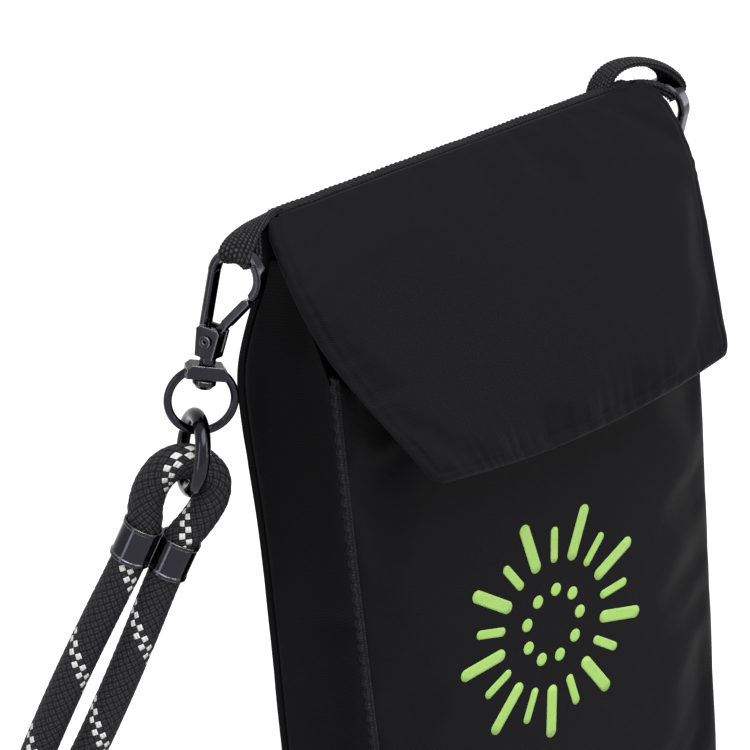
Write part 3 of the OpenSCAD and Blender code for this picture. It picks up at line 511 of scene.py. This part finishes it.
def settle(obj, body, slot, *stands):
    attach(obj, body)
    if stands:
        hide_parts(*stands)


# How firmly a shell's points are held in the cloth run: at the seams, and all over its back
def pinsOf(edges, fade):
    pins = {k: 1.0 if d < 0.01 else max(0.0, 1 - d / fade) for k, d in enumerate(edges)}
    pins.update({k + len(edges): 1.0 for k in range(len(edges))})
    return pins


# Pads are blown up by a short cloth run, each point moving no further than the cap
def stuff(obj, pinned, f, frames=20):
    group = obj.vertex_groups.new(name="seam")
    for index, weight in pinned.items():
        group.add([index], weight, "REPLACE")
    cloth = obj.modifiers.new("stuffing", "CLOTH")
    cloth.settings.vertex_group_mass = "seam"
    cloth.settings.quality = 6
    cloth.settings.mass = 0.15
    cloth.settings.tension_stiffness = 25
    cloth.settings.compression_stiffness = 25
    cloth.settings.shear_stiffness = 8
    cloth.settings.bending_stiffness = 0.6
    cloth.settings.shrink_min = -f["grow"]
    cloth.settings.use_pressure = True
    cloth.settings.uniform_pressure_force = f["pressure"]
    cloth.settings.effector_weights.gravity = 0
    cloth.collision_settings.use_collision = False
    cloth.point_cache.frame_start = 1
    cloth.point_cache.frame_end = frames
    rest = [v.co.copy() for v in obj.data.vertices]
    for number in range(1, frames + 1):
        scene.frame_set(number)
    depsgraph = bpy.context.evaluated_depsgraph_get()
    done = obj.evaluated_get(depsgraph).to_mesh()
    moved = [v.co.copy() for v in done.vertices]
    obj.evaluated_get(depsgraph).to_mesh_clear()
    obj.modifiers.remove(cloth)
    scene.frame_set(1)
    for vertex, start, end in zip(obj.data.vertices, rest, moved):
        way = end - start
        if way.length > f["cap"] * mm:
            way *= f["cap"] * mm / way.length
        vertex.co = start + way
    obj.vertex_groups.clear()


def refine(obj, levels):
    mod = obj.modifiers.new("rounding", "SUBSURF")
    mod.levels = mod.render_levels = levels
    depsgraph = bpy.context.evaluated_depsgraph_get()
    mesh = bpy.data.meshes.new_from_object(obj.evaluated_get(depsgraph))
    obj.modifiers.remove(mod)
    old = obj.data
    obj.data = mesh
    bpy.data.meshes.remove(old)
    smoothFaces(mesh)


body = {
    "width": 120, "height": 190, "depth": 34, "panel": 2.6, "puff": 3, "innerShare": 0.35,
    "frontTop": 149, "cornerRise": 6, "low": 2.65, "lean": 46, "topY": 2.5, "tape": 4.4, "sideIn": 0.6,
    "backOut": 1.2,             # how far the back panel's sides stand out past the seams
    "bulge": 2.2, "bulgeAt": 145, "bulgeHigh": 29,
    "edgeRound": 4.5, "edgeThin": 0.42, "footRound": 12, "crown": 0.75,
    "pinFade": 2.5, "pressure": 3.0, "cap": 1.4, "grow": 0.01,
    "seamLow": 3.8, "seamHigh": 0.4,    # how far in the left front seam is pulled, at its foot and head
}


# How far in from the full width the front panel's seam lies at a height, on one side
def seamIn(side, z):
    b = body
    return b["sideIn"] + (mix(b["seamLow"], b["seamHigh"], smooth(z / b["frontTop"])) if side < 0 else 0)


# How far the stuffed back stands out sideways, below the flap
def bulgeOut(z):
    return body["bulge"] * math.exp(-((z - body["bulgeAt"]) / body["bulgeHigh"]) ** 2)


def pillow(s):
    return 1 - abs(s) ** 3


def backY(z):
    b = body
    risen = smooth((z - b["height"] + b["lean"]) / (b["lean"] - b["tape"]))
    return mix(b["depth"] / 2 - b["panel"], b["topY"], risen)


# Share of the full thickness at a distance from the edge, which is full from the radius on
def rounded(distance, radius, least=0):
    t = min(1, max(0, distance / radius))
    return mix(least, 1, math.sqrt(max(0, 1 - (1 - t) ** 2)))


def makePanel(name, node, yOf, sign, topOf):
    b = body
    rows, cols = 60, 42
    front, back, uv, edges = [], [], [], []
    for i in range(rows + 1):
        frontRow, backRow = [], []
        for j in range(cols + 1):
            s = 2 * j / cols - 1
            top = topOf(s)
            z = mix(b["low"], top, i / rows)
            out = b["backOut"] * rounded(z, b["footRound"]) if sign > 0 else -seamIn(-1 if s < 0 else 1, z)
            full = b["width"] / 2 + out
            half = full + (bulgeOut(z) if sign > 0 else 0)
            x = half * s
            swell = b["puff"] * pillow(s) * pillow(2 * i / rows - 1)
            away = min(half - abs(x), z - b["low"], top - z)
            thick = b["panel"] * rounded(away, b["edgeRound"], b["edgeThin"])
            middle = yOf(z) + b["panel"] / 2
            fat = thick / 2
            outer = middle + sign * (fat + swell * b["crown"])
            inner = middle - sign * (fat + swell * b["innerShare"])
            frontRow.append((x, outer, z))
            backRow.append((x, inner, z))
            uv.append((x, z))
            edges.append(away)
        front.append(frontRow)
        back.append(backRow)
    points, faces = shellOf(front, back)
    obj = newPiece(name, points, faces, twill, uv + uv)
    stuff(obj, pinsOf(edges, b["pinFade"]), b)
    refine(obj, 1)
    settle(obj, "pouch", "padded_nylon", node)
    return obj


makePanel("back_pad", "back_panel", backY, 1, lambda s: body["height"])
frontPanel = makePanel("front_pad", "front_panel", lambda z: -body["depth"] / 2, -1,
                       lambda s: body["frontTop"] + body["cornerRise"] * abs(s) ** 6)
print("panels stuffed")


gusset = {
    "thick": 1.6, "fold": 9, "over": 31, "backGap": 3.4, "clear": 0.2, "rearOut": 0.6,
    "crease": 82, "creaseDepth": 1.6, "creaseHigh": 3.5,
    "skew": 0.72,               # the fold lies nearer to the front seam
    "knife": 0.45,              # 0 is a round fold, 1 a sharp one
    "ripple": 0.35,
}


def makeGusset(name, side):
    b, g = body, gusset
    top = b["frontTop"] + g["over"]
    rows, cols = 84, 16
    outer, inner, uv = [], [], []
    for i in range(rows + 1):
        z = mix(b["low"], top, i / rows)
        front = b["panel"] + 0.05 - b["depth"] / 2
        if z > b["frontTop"]:
            front = mix(front, backY(top) - g["backGap"], (z - b["frontTop"]) / g["over"])
        rear = backY(z) - g["clear"]
        full = smooth((rear - front) / (b["depth"] / 2))
        fold = g["fold"] * full
        dip = g["creaseDepth"] * math.exp(-((z - g["crease"]) / g["creaseHigh"]) ** 2)
        outRow, inRow = [], []
        for j in range(cols + 1):
            t = j / cols
            y = mix(front, rear, t)
            bent = 0.5 - 0.5 * math.cos(2 * math.pi * t ** g["skew"])
            sharp = 1 - abs(2 * t ** g["skew"] - 1)
            depth = fold * mix(bent, sharp, g["knife"])
            depth += dip * bent
            depth += g["ripple"] * bent * noise.noise(Vector((y * 0.09, side * 3, z * 0.06)))
            x = b["width"] / 2 - mix(seamIn(side, z), (-g["rearOut"] - bulgeOut(z)) * full, t) - depth
            outRow.append((side * x, y, z))
            inRow.append((side * (x - g["thick"]), y, z))
            uv.append((y, z))
        outer.append(outRow)
        inner.append(inRow)
    points, faces = shellOf(outer, inner)
    obj = newPiece(name, points, faces, twill, uv + uv)
    refine(obj, 1)
    settle(obj, "pouch", "padded_nylon", name.replace("_cloth", ""))


for name, side in (("left_gusset_cloth", -1), ("right_gusset_cloth", 1)):
    makeGusset(name, side)

binding = {
    "wide": 2.2, "thick": 1.4, "ridge": 0.5, "pitch": 3.2, "step": 0.4, "wander": 0.12, "slant": 0.5,
    "in": {-1: 0.9, 1: 2.1},    # mm in from the seam, on the left and on the right
    "back": {-1: 0, 1: 1.8},    # mm behind the front face, where the right one is tucked in
}


# Overlocked seam down a front corner: one lump of thread to each stitch
def makeBinding(name, side):
    b, s = body, binding
    low, top = b["low"] + 1, b["frontTop"] + b["cornerRise"]
    steps = round((top - low) / s["step"])
    ring = 14
    reach = (s["thick"] + s["ridge"] * 2) / 2
    points, uv = [], []
    for i in range(steps + 1):
        z = mix(low, top, i / steps)
        phase = (z / s["pitch"]) % 1
        lump = (0.5 + 0.5 * math.cos(2 * math.pi * (phase - 0.5))) ** 0.6
        wander = s["wander"] * noise.noise(Vector((side * 5, 0, z * 0.4)))
        for n in range(ring):
            a = 2 * math.pi * n / ring
            x = b["width"] / 2 - seamIn(side, z) - s["in"][side]
            x += reach * (0.72 + 0.28 * lump) * (1 + math.cos(a)) * 0.98
            y = s["wide"] / 2 * (1 + math.sin(a) * (0.8 + 0.2 * lump)) - b["depth"] / 2 + s["back"][side] + wander
            points.append((side * x, y, z + s["slant"] * math.cos(a)))
            uv.append((a * 1.3, z))
    obj = newPiece(name, points, tubeFaces(steps + 1, ring), overlock, uv)
    settle(obj, "pouch", "webbing", name.replace("_thread", "_binding"))


for name, side in (("left_seam_thread", -1), ("right_seam_thread", 1)):
    makeBinding(name, side)


basePad = {"corner": 7, "cornerSteps": 21, "rows": 8, "halfThick": 1.3, "roundIn": 0.9}


# A rounded rectangle, drawn in at its foot and its top
def makeBase(b, f):
    corner, rows = f["corner"], f["rows"]
    outline = []
    for q in range(4):
        for n in range(f["cornerSteps"] + 1):
            a = math.radians(90 * q + 90 * n / f["cornerSteps"])
            cx = (1 if q in (0, 3) else -1) * (b["width"] / 2 - corner)
            cy = (1 if q < 2 else -1) * (b["depth"] / 2 - corner)
            outline.append((cx + corner * math.cos(a), cy + corner * math.sin(a)))
    points, uv = [], []
    for k in range(rows + 1):
        a = math.pi * k / rows
        shrink = 1 - f["roundIn"] * (1 - math.sin(a)) / b["depth"] * 2
        for x, y in outline:
            points.append((x * shrink, y * shrink, f["halfThick"] - f["halfThick"] * math.cos(a)))
            uv.append((x, y))
    obj = newPiece("base_pad", points, tubeFaces(rows + 1, len(outline)), twill, uv)
    settle(obj, "pouch", "padded_nylon", "base_panel")


makeBase(body, basePad)


hem = {"in": 14, "high": 8, "thick": 1, "gap": 0.05, "round": 1.2, "edgeThin": 0.3}


def makeHem(b, h):
    rows, cols = 10, 60
    half = b["width"] / 2 - h["in"]
    middle = b["panel"] + b["puff"] * b["innerShare"] + h["gap"] - b["depth"] / 2 + h["thick"] / 2
    across = [mix(-half, half, j / cols) for j in range(cols + 1)]
    front, back, uv = [], [], []
    for i in range(rows + 1):
        z = mix(b["frontTop"] - h["high"], b["frontTop"], i / rows)
        fat = h["thick"] / 2 * rounded(min(i, rows - i) * h["high"] / rows, h["round"], h["edgeThin"])
        front.append([(x, middle - fat, z) for x in across])
        back.append([(x, middle + fat, z) for x in across])
        uv += [(z, x) for x in across]
    points, faces = shellOf(front, back)
    obj = newPiece("hem_tape", points, faces, overlock, uv + uv)
    settle(obj, "pouch", "webbing", "front_hem")


makeHem(body, hem)
print("gussets, base and hem sewn")


topTape = {
    "in": 3, "cap": 0.4, "wall": 0.7, "clear": 0.25, "behind": 0.3, "high": 4.2,
    "rib": 1.45, "ribHigh": 0.28, "slack": 0.25, "step": 0.36,
}


def makeTape(b, t):
    wide = b["width"] - 2 * t["in"]
    front = b["topY"] - t["clear"] - t["wall"]
    back = b["topY"] + b["panel"] + t["behind"] + t["wall"]
    cy = (front + back) / 2
    low, top = b["height"] + t["cap"] - t["high"], b["height"] + t["cap"] + 0.2
    # the tape's section, from its front foot over the top to its back foot
    outline = [(front, low), (front, mix(low, top, 0.4)), (front + 0.05, top - 1.1), (front + 0.5, top - 0.35)]
    outline += [(mix(front, back, k / 6), top) for k in (1, 2, 3, 4, 5)]
    outline += [(back - 0.5, top - 0.35), (back - 0.05, top - 1.1), (back, mix(low, top, 0.4)), (back, low)]
    inner = [(mix(y, cy, 0.42), min(z, top - 0.8) if z > low + 1 else z) for y, z in outline]
    steps = round(wide / t["step"])
    outerGrid, innerGrid, uv = [], [], []
    for i in range(steps + 1):
        x = mix(-wide / 2, wide / 2, i / steps)
        rib = abs(math.sin(math.pi * x / t["rib"])) ** 0.7
        slack = t["slack"] * noise.noise(Vector((x * 0.12, 0, 7)))
        row = []
        for n, (y, z) in enumerate(outline):
            out = t["ribHigh"] * (rib - 0.6)
            push = max(-1, min(1, (y - cy) / (back - cy)))
            row.append((x, y + out * push, z + (out if 2 < n < len(outline) - 3 else 0) * 0.9 + slack))
            uv.append((n * 1.1, x))
        outerGrid.append(row)
        innerGrid.append([(x, y, z + slack) for y, z in inner])
    points, faces = shellOf(outerGrid, innerGrid)
    obj = newPiece("top_tape_cloth", points, faces, overlock, uv + uv)
    settle(obj, "pouch", "webbing", "top_tape")


makeTape(body, topTape)


# Raises the threads of a webbing by their own pattern
def knit(obj, f, amount):
    layer = obj.data.uv_layers["cloth"].data
    where = {loop.vertex_index: layer[loop.index].uv for loop in obj.data.loops}
    shifts = [v.normal * (knitHeight(*where[v.index], f) - 0.4) * amount * mm for v in obj.data.vertices]
    for vertex, shift in zip(obj.data.vertices, shifts):
        vertex.co += shift


loops = {
    "wide": 9, "thick": 1.3, "edgeRound": 1.1, "edgeThin": 0.45, "knit": 0.45, "gap": 0.3, "spread": 44, "fore": 4.8,
    "barX": 3.9, "archR": 5.95, "archZ": -5.95, "armDepth": 4, "arm": 1.9,
    "left": {"side": -1, "droop": 0.8, "rise": 4.5, "backRise": 0.55,
             "path": [(-8, -3), (-3, 0.5), (-1.6, -3), (2.5, -1)],
             "top": (-72.2, 2.5, 186.8), "lean": (0, 14.5, -30), "turn": -40},
    "right": {"side": 1, "droop": 0.3, "rise": 6, "backRise": 0.3,
              "path": [(-9.5, -2.5), (-6.5, 11), (-3, -3), (2, -1)],
              "top": (71.6, -1, 185), "lean": (3, -17, 90), "turn": 18},
}


def makeLoop(name, l, w):
    turn = Matrix.Rotation(math.radians(w["turn"]), 3, "Z")
    lean = leanOf(w["lean"])
    centre = Vector(w["top"]) + lean @ (turn @ Vector((l["barX"], 0, l["archZ"])))
    xWay, yWay, zWay = lean @ (turn @ Vector((1, 0, 0))), lean @ (turn @ Vector((0, 1, 0))), lean @ Vector((0, 0, 1))
    out = yWay * (1 if yWay.x * w["side"] > 0 else -1)
    across = Vector((0, 1, -w["droop"])).normalized() * (1 if xWay.y > 0 else -1)
    depth = l["armDepth"] / 2 + l["gap"] + l["thick"] / 2
    height = l["arm"] / 2 + l["gap"] + l["thick"] / 2
    corner = Vector((w["side"] * body["width"] / 2, body["topY"] + l["fore"], body["height"]))
    cols = 12
    stations = [("up", k / 30) for k in range(30)]
    stations += [("round", 180 * k / 24) for k in range(25)]
    stations += [("down", k / 16) for k in range(1, 17)]

    def bezier(a, b, c, d, t):
        s = 1 - t
        return a * s ** 3 + b * 3 * s * s * t + c * 3 * s * t * t + d * t ** 3

    mid = []
    for kind, t in stations:
        row = []
        for j in range(cols + 1):
            s = 2 * j / cols - 1
            angle = math.radians(s * l["spread"])
            away = math.sin(angle) * xWay + math.cos(angle) * zWay
            wire = centre + l["archR"] * away
            at = [corner + Vector((w["side"] * p[0], 0, p[1])) + across * s * l["wide"] / 2 for p in w["path"]]
            if kind == "up":
                p = bezier(at[0], at[1], wire + depth * out + w["rise"] * zWay, wire + depth * out, t)
            elif kind == "round":
                a = math.radians(t)
                p = wire + depth * math.cos(a) * out - height * math.sin(a) * away
            else:
                p = bezier(wire - depth * out, wire - depth * out + w["rise"] * w["backRise"] * zWay, at[3], at[2], t)
            row.append(p)
        mid.append(row)
    n = len(mid)
    front, back, uv, run = [], [], [], 0
    for i in range(n):
        run += (mid[i][cols // 2] - mid[i - 1][cols // 2]).length if i else 0
        frontRow, backRow = [], []
        for j in range(cols + 1):
            along = mid[min(n - 1, i + 1)][j] - mid[max(0, i - 1)][j]
            side = mid[i][min(cols, j + 1)] - mid[i][max(0, j - 1)]
            normal = along.cross(side).normalized()
            edge = min(j, cols - j) * l["wide"] / cols
            fat = l["thick"] / 2 * rounded(edge, l["edgeRound"], l["edgeThin"])
            frontRow.append(mid[i][j] + normal * fat)
            backRow.append(mid[i][j] - normal * fat)
            uv.append((j * l["wide"] / cols, run))
        front.append(frontRow)
        back.append(backRow)
    points, faces = shellOf(front, back)
    obj = newPiece(name, points, faces, webbing, uv + uv)
    refine(obj, 2)
    knit(obj, knittedWebbing, l["knit"])
    settle(obj, "pouch", "webbing", name.replace("_webbing", ""))


for side in ("left", "right"):
    makeLoop(side + "_loop_webbing", loops, loops[side])
print("tape and loops sewn")


flap = {
    "reach": 38.5, "fall": 60, "taper": 11.2, "flare": 4.2, "edge": 3, "puff": 3.6, "corner": 6,
    "top": 1.2, "swell": 0.14, "hingeY": -0.15, "hingeZ": 189.45, "start": 0.02, "end": 0.965,
    "edgeRound": 3.4, "edgeThin": 0.3, "pinFade": 2.2, "pressure": 3.5, "cap": 1.3, "grow": 0.012,
    "mid": [(-0.03, -0.03), (0.14, 0.045), (0.3, 0.22), (0.49, 0.42), (0.69, 0.65), (0.87, 0.86), (1.03, 1.06)],
    "side": [(-0.03, -0.025), (0.14, 0.075), (0.31, 0.26), (0.45, 0.44), (0.63, 0.63), (0.82, 0.82), (1, 1)],
    "width": [0.74, 0.92, 0.99, 1, 0.95, 0.86, 0.71, 0.52, 0.32, 0.12, -0.04],
}
flapLength = math.hypot(flap["reach"], flap["fall"])
flapInward = Vector((0, flap["fall"], -flap["reach"])).normalized()


def along(values, t):
    x = t * (len(values) - 1)
    i = min(len(values) - 2, math.floor(x))
    f = x - i
    p = [np.array(values[max(0, min(len(values) - 1, k))], float) for k in range(i - 1, i + 3)]
    return 0.5 * (2 * p[1] + (p[2] - p[0]) * f + (2 * p[0] - 5 * p[1] + 4 * p[2] - p[3]) * f * f
                  + (3 * p[1] - p[0] - 3 * p[2] + p[3]) * f ** 3)


def flapHalf(u):
    c = flap["corner"]
    left = c - min(c, (1 - u) * flapLength)
    share = float(along(flap["width"], u))
    half = body["width"] / 2
    return mix(half - flap["taper"], half + flap["flare"], share) - (c - math.sqrt(c * c - left * left))


def flapPoint(u, s, depth):
    m, e = along(flap["mid"], u), along(flap["side"], u)
    w = m + (e - m) * s * s
    edge = mix(flap["top"], flap["edge"], smooth(u / flap["swell"]))
    t = depth * (edge + flap["puff"] * pillow(s) * pillow(2 * u - 1))
    n = Vector((flap["fall"], flap["reach"])).normalized()
    return Vector((s * flapHalf(u), flap["hingeY"] - flap["reach"] * w[0] + n[0] * t,
                   flap["hingeZ"] - flap["fall"] * w[1] - n[1] * t))


# How far a point is from the nearest edge, from the sides and from the lower edge
def flapEdge(u, s):
    sides = (1 - abs(s)) * flapHalf(u)
    low = (flap["end"] - u) * flapLength
    return min(sides, low), sides, low


def makeFlap():
    rows, cols = 34, 56
    front, back, uv, edges = [], [], [], []
    for i in range(rows + 1):
        u = mix(flap["start"], flap["end"], i / rows)
        frontRow, backRow = [], []
        for j in range(cols + 1):
            s = 2 * j / cols - 1
            away = flapEdge(u, s)[0]
            outer, inner = flapPoint(u, s, 0), flapPoint(u, s, 1)
            middle = (outer + inner) / 2
            share = rounded(away, flap["edgeRound"], flap["edgeThin"])
            frontRow.append(middle + (outer - middle) * share)
            backRow.append(middle + (inner - middle) * share)
            uv.append((u, s))
            edges.append(away)
        front.append(frontRow)
        back.append(backRow)
    points, faces = shellOf(front, back)
    obj = newPiece("flap_pad", points, faces, twill, uv + uv)
    pins = pinsOf(edges, flap["pinFade"])
    for j in range(cols + 1):
        pins[j] = pins[j + cols + 1] = 1.0
    stuff(obj, pins, flap)
    refine(obj, 2)
    puckerFlap(obj)
    settle(obj, "flap", "padded_nylon", "flap_shell")


flapSeam = {
    "in": 2.4, "groove": 0.55, "grooveHalf": 0.55, "hingeFade": 0.05,
    "pucker": 0.38, "gather": 0.34, "wrinkle": 0.75, "edgeFade": 1.2, "fade": 9,
}


# The seam round the flap: a groove a little in from the edge, and gathers running in from it
def puckerFlap(obj):
    mesh = obj.data
    layer = mesh.uv_layers["cloth"].data
    where = {}
    for loop in mesh.loops:
        where.setdefault(loop.vertex_index, layer[loop.index].uv.copy())
    normals = [v.normal.copy() for v in mesh.vertices]
    q = flapSeam
    for vertex in mesh.vertices:
        u, s = where[vertex.index]
        away, sides, low = flapEdge(u, max(-1, min(1, s)))
        if u > flap["end"]:
            continue
        run = s * 50 if low < sides else 70 * u + 120       # about mm along the seam
        ripple = noise.noise(Vector((run * q["gather"], 3.1, 0)))
        ripple += 0.6 * noise.noise(Vector((run * q["wrinkle"], 9.4, 0)))
        fade = math.exp(-max(0, away - q["in"]) / q["fade"] * 2.2) * smooth(away / q["edgeFade"])
        shift = q["pucker"] * ripple * fade
        groove = math.exp(-((away - q["in"]) / q["grooveHalf"]) ** 2) * (1 - math.exp(-u / q["hingeFade"]))
        shift -= q["groove"] * groove
        vertex.co += normals[vertex.index] * shift * mm


makeFlap()


lining = {"from": 0.1, "to": 0.885, "half": 0.857, "in": 0.2, "out": 0.85, "ripple": 0.25}


def makeLining():
    f = lining
    rows, cols = 30, 40
    front, back, uv = [], [], []
    for i in range(rows + 1):
        u = mix(f["from"], f["to"], i / rows)
        frontRow, backRow = [], []
        for j in range(cols + 1):
            s = mix(-f["half"], f["half"], j / cols)
            p = flapPoint(u, s, 1)
            soft = f["ripple"] * noise.noise(Vector((p.x * 0.09, p.z * 0.12, 4)))
            frontRow.append(p + flapInward * (f["in"] + max(0, soft)))
            backRow.append(p + flapInward * (f["out"] + max(0, soft)))
            uv.append((p.x, p.z))
        front.append(frontRow)
        back.append(backRow)
    points, faces = shellOf(front, back)
    obj = newPiece("flap_lining_cloth", points, faces, taffeta, uv + uv)
    settle(obj, "flap", "lining_nylon", "flap_lining")


makeLining()
print("flap stuffed")


motif = {
    "colour": "#b3da78", "worn": "#9fd061",
    "centre": (-1, 70), "strokes": 18, "inner": 16.5, "outer": 31, "wide": 3.3,
    "shorter": 5, "thinner": 0.72,      # every other stroke
    "turn": 0.08, "dots": 9, "dotRing": 9.2, "dot": 1.7, "lift": 0.07, "thick": 0.05, "roughness": 0.55,
}


# Plastisol screen print: flat, bright and a little glossy, with the twill showing through
def makeInk(f):
    material, tree, shader = newMaterial("plastisol screen print")
    place = addNode(tree, "ShaderNodeTexCoord")
    threads = twillThreads(tree, place, nylonTwill["threadSpacing"], 2.0)
    patches = addNode(tree, "ShaderNodeTexNoise", {
        "Vector": place.outputs["Object"], "Scale": 260.0, "Detail": 3.0})
    colour = addNode(tree, "ShaderNodeMix", {
        "Factor": patches.outputs["Fac"], "A": toLinear(f["colour"]), "B": toLinear(f["worn"])},
        data_type="RGBA")
    bump = addNode(tree, "ShaderNodeBump", {"Strength": 0.4, "Distance": 0.04 * mm, "Height": threads})
    plug(tree, shader, {
        "Base Color": colour.outputs["Result"], "Normal": bump.outputs["Normal"], "Roughness": f["roughness"]})
    return material


def makeMotif(m):
    ink = makeInk(m)
    bpy.context.view_layer.update()
    surface = frontPanel.evaluated_get(bpy.context.evaluated_depsgraph_get())
    shapes = []
    for k in range(m["strokes"]):
        a = 2 * math.pi * k / m["strokes"] + m["turn"]
        long = m["outer"] if k % 2 else m["outer"] - m["shorter"]
        shapes.append((a, m["inner"], long, m["wide"] * (1 if k % 2 else m["thinner"])))
    for k in range(m["dots"]):
        a = 2 * math.pi * k / m["dots"]
        shapes.append((a, m["dotRing"] - m["dot"], m["dotRing"] + m["dot"], m["dot"] * 2))
    points, faces = [], []
    for a, r0, r1, wide in shapes:
        outline = []
        for end, first in ((r1 - wide / 2, -0.5), (r0 + wide / 2, 0.5)):
            for n in range(25):
                t = math.pi * (n / 24 + first)
                outline.append((end + wide / 2 * math.cos(t), wide / 2 * math.sin(t)))
        layers = [outline]
        for share in (0.66, 0.33):
            middle = (r0 + r1) / 2
            layers.append([(middle + (x - middle) * (1 - (1 - share) * 0.9), y * share) for x, y in outline])
        start = len(points)
        for ring in layers:
            for x, y in ring:
                points.append((m["centre"][0] + x * math.cos(a) - y * math.sin(a),
                               m["centre"][1] + x * math.sin(a) + y * math.cos(a)))
        count = len(outline)
        for k in range(len(layers) - 1):
            for n in range(count):
                o = (n + 1) % count
                base = start + k * count
                faces.append((base + n, base + o, base + count + o, base + count + n))
        faces.append(tuple(start + (len(layers) - 1) * count + n for n in range(count)))
    seated = []
    for x, z in points:
        hit, place = surface.ray_cast(Vector((x, -60, z)) * mm, Vector((0, 1, 0)))[:2]
        seated.append((x, place.y / mm - m["lift"] if hit else -20, z))
    obj = newPiece("sunburst_print", seated, faces, ink)
    thick = obj.modifiers.new("ink", "SOLIDIFY")
    thick.thickness = m["thick"] * mm
    thick.offset = 0
    settle(obj, "pouch", "padded_nylon")


makeMotif(motif)
print("print laid on")


room = {
    "floor": "#bcbcbc", "reach": 6, "glow": 0.9, "world": 0.22,
    "lamps": [
        # name, place, aim, width, height, watts
        ("overhead softbox", (-0.1, -0.55, 1.05), (0, 0, 0.12), 0.9, 0.7, 11.5),
        ("front strip", (0.4, -1.05, 0.35), (0, 0, 0.12), 0.16, 0.9, 3.8),
        ("left strip", (-0.95, 0.05, 0.35), (-0.05, 0, 0.12), 0.14, 0.9, 3.0),
        ("right strip", (0.8, -0.2, 0.35), (0, 0, 0.1), 0.07, 0.9, 1.2),
    ],
}


# The rays that see the room as white: the camera's, and those that metal or glass sends on
def seenRays(tree):
    path = addNode(tree, "ShaderNodeLightPath")
    through = addNode(tree, "ShaderNodeMath", {
        0: path.outputs["Is Camera Ray"], 1: path.outputs["Is Transmission Ray"]}, operation="MAXIMUM")
    return addNode(tree, "ShaderNodeMath", {0: through.outputs[0], 1: path.outputs["Is Glossy Ray"]},
                   operation="MAXIMUM").outputs[0]


def makeRoom(r):
    world = bpy.data.worlds.new("studio")
    scene.world = world
    world.use_nodes = True
    tree = world.node_tree
    tree.nodes.clear()
    seen = seenRays(tree)
    level = addNode(tree, "ShaderNodeMapRange", {"Value": seen, "To Min": r["world"], "To Max": 1.0})
    glow = addNode(tree, "ShaderNodeBackground", {"Color": (1, 1, 1, 1), "Strength": level.outputs["Result"]})
    addNode(tree, "ShaderNodeOutputWorld", {"Surface": glow.outputs[0]})

    floor, tree, shader = newMaterial("matt white paper")
    tree.nodes.remove(shader)
    out = tree.nodes["Material Output"]
    paper = addNode(tree, "ShaderNodeBsdfDiffuse", {"Color": toLinear(r["floor"])})
    seen = addNode(tree, "ShaderNodeMath", {0: seenRays(tree), 1: r["glow"]}, operation="MULTIPLY")
    light = addNode(tree, "ShaderNodeEmission", {"Color": (1, 1, 1, 1), "Strength": seen.outputs[0]})
    both = addNode(tree, "ShaderNodeAddShader", {0: paper.outputs[0], 1: light.outputs[0]})
    tree.links.new(both.outputs[0], out.inputs["Surface"])
    mesh = bpy.data.meshes.new("paper floor")
    far = r["reach"]
    mesh.from_pydata([(-far, -far, 0), (far, -far, 0), (far, far, 0), (-far, far, 0)], [], [(0, 1, 2, 3)])
    mesh.materials.append(floor)
    obj = addObject("paper_floor", mesh)

    for name, place, aim, wide, high, watts in r["lamps"]:
        data = bpy.data.lights.new(name, "AREA")
        data.shape = "RECTANGLE"
        data.size, data.size_y = wide, high
        data.energy = watts
        lamp = addObject(name, data)
        way = Vector(aim) - Vector(place)
        lamp.matrix_world = Matrix.Translation(place) @ way.to_track_quat("-Z", "Y").to_matrix().to_4x4()


makeRoom(room)
scene.view_settings.view_transform = "Standard"

print("scene done")
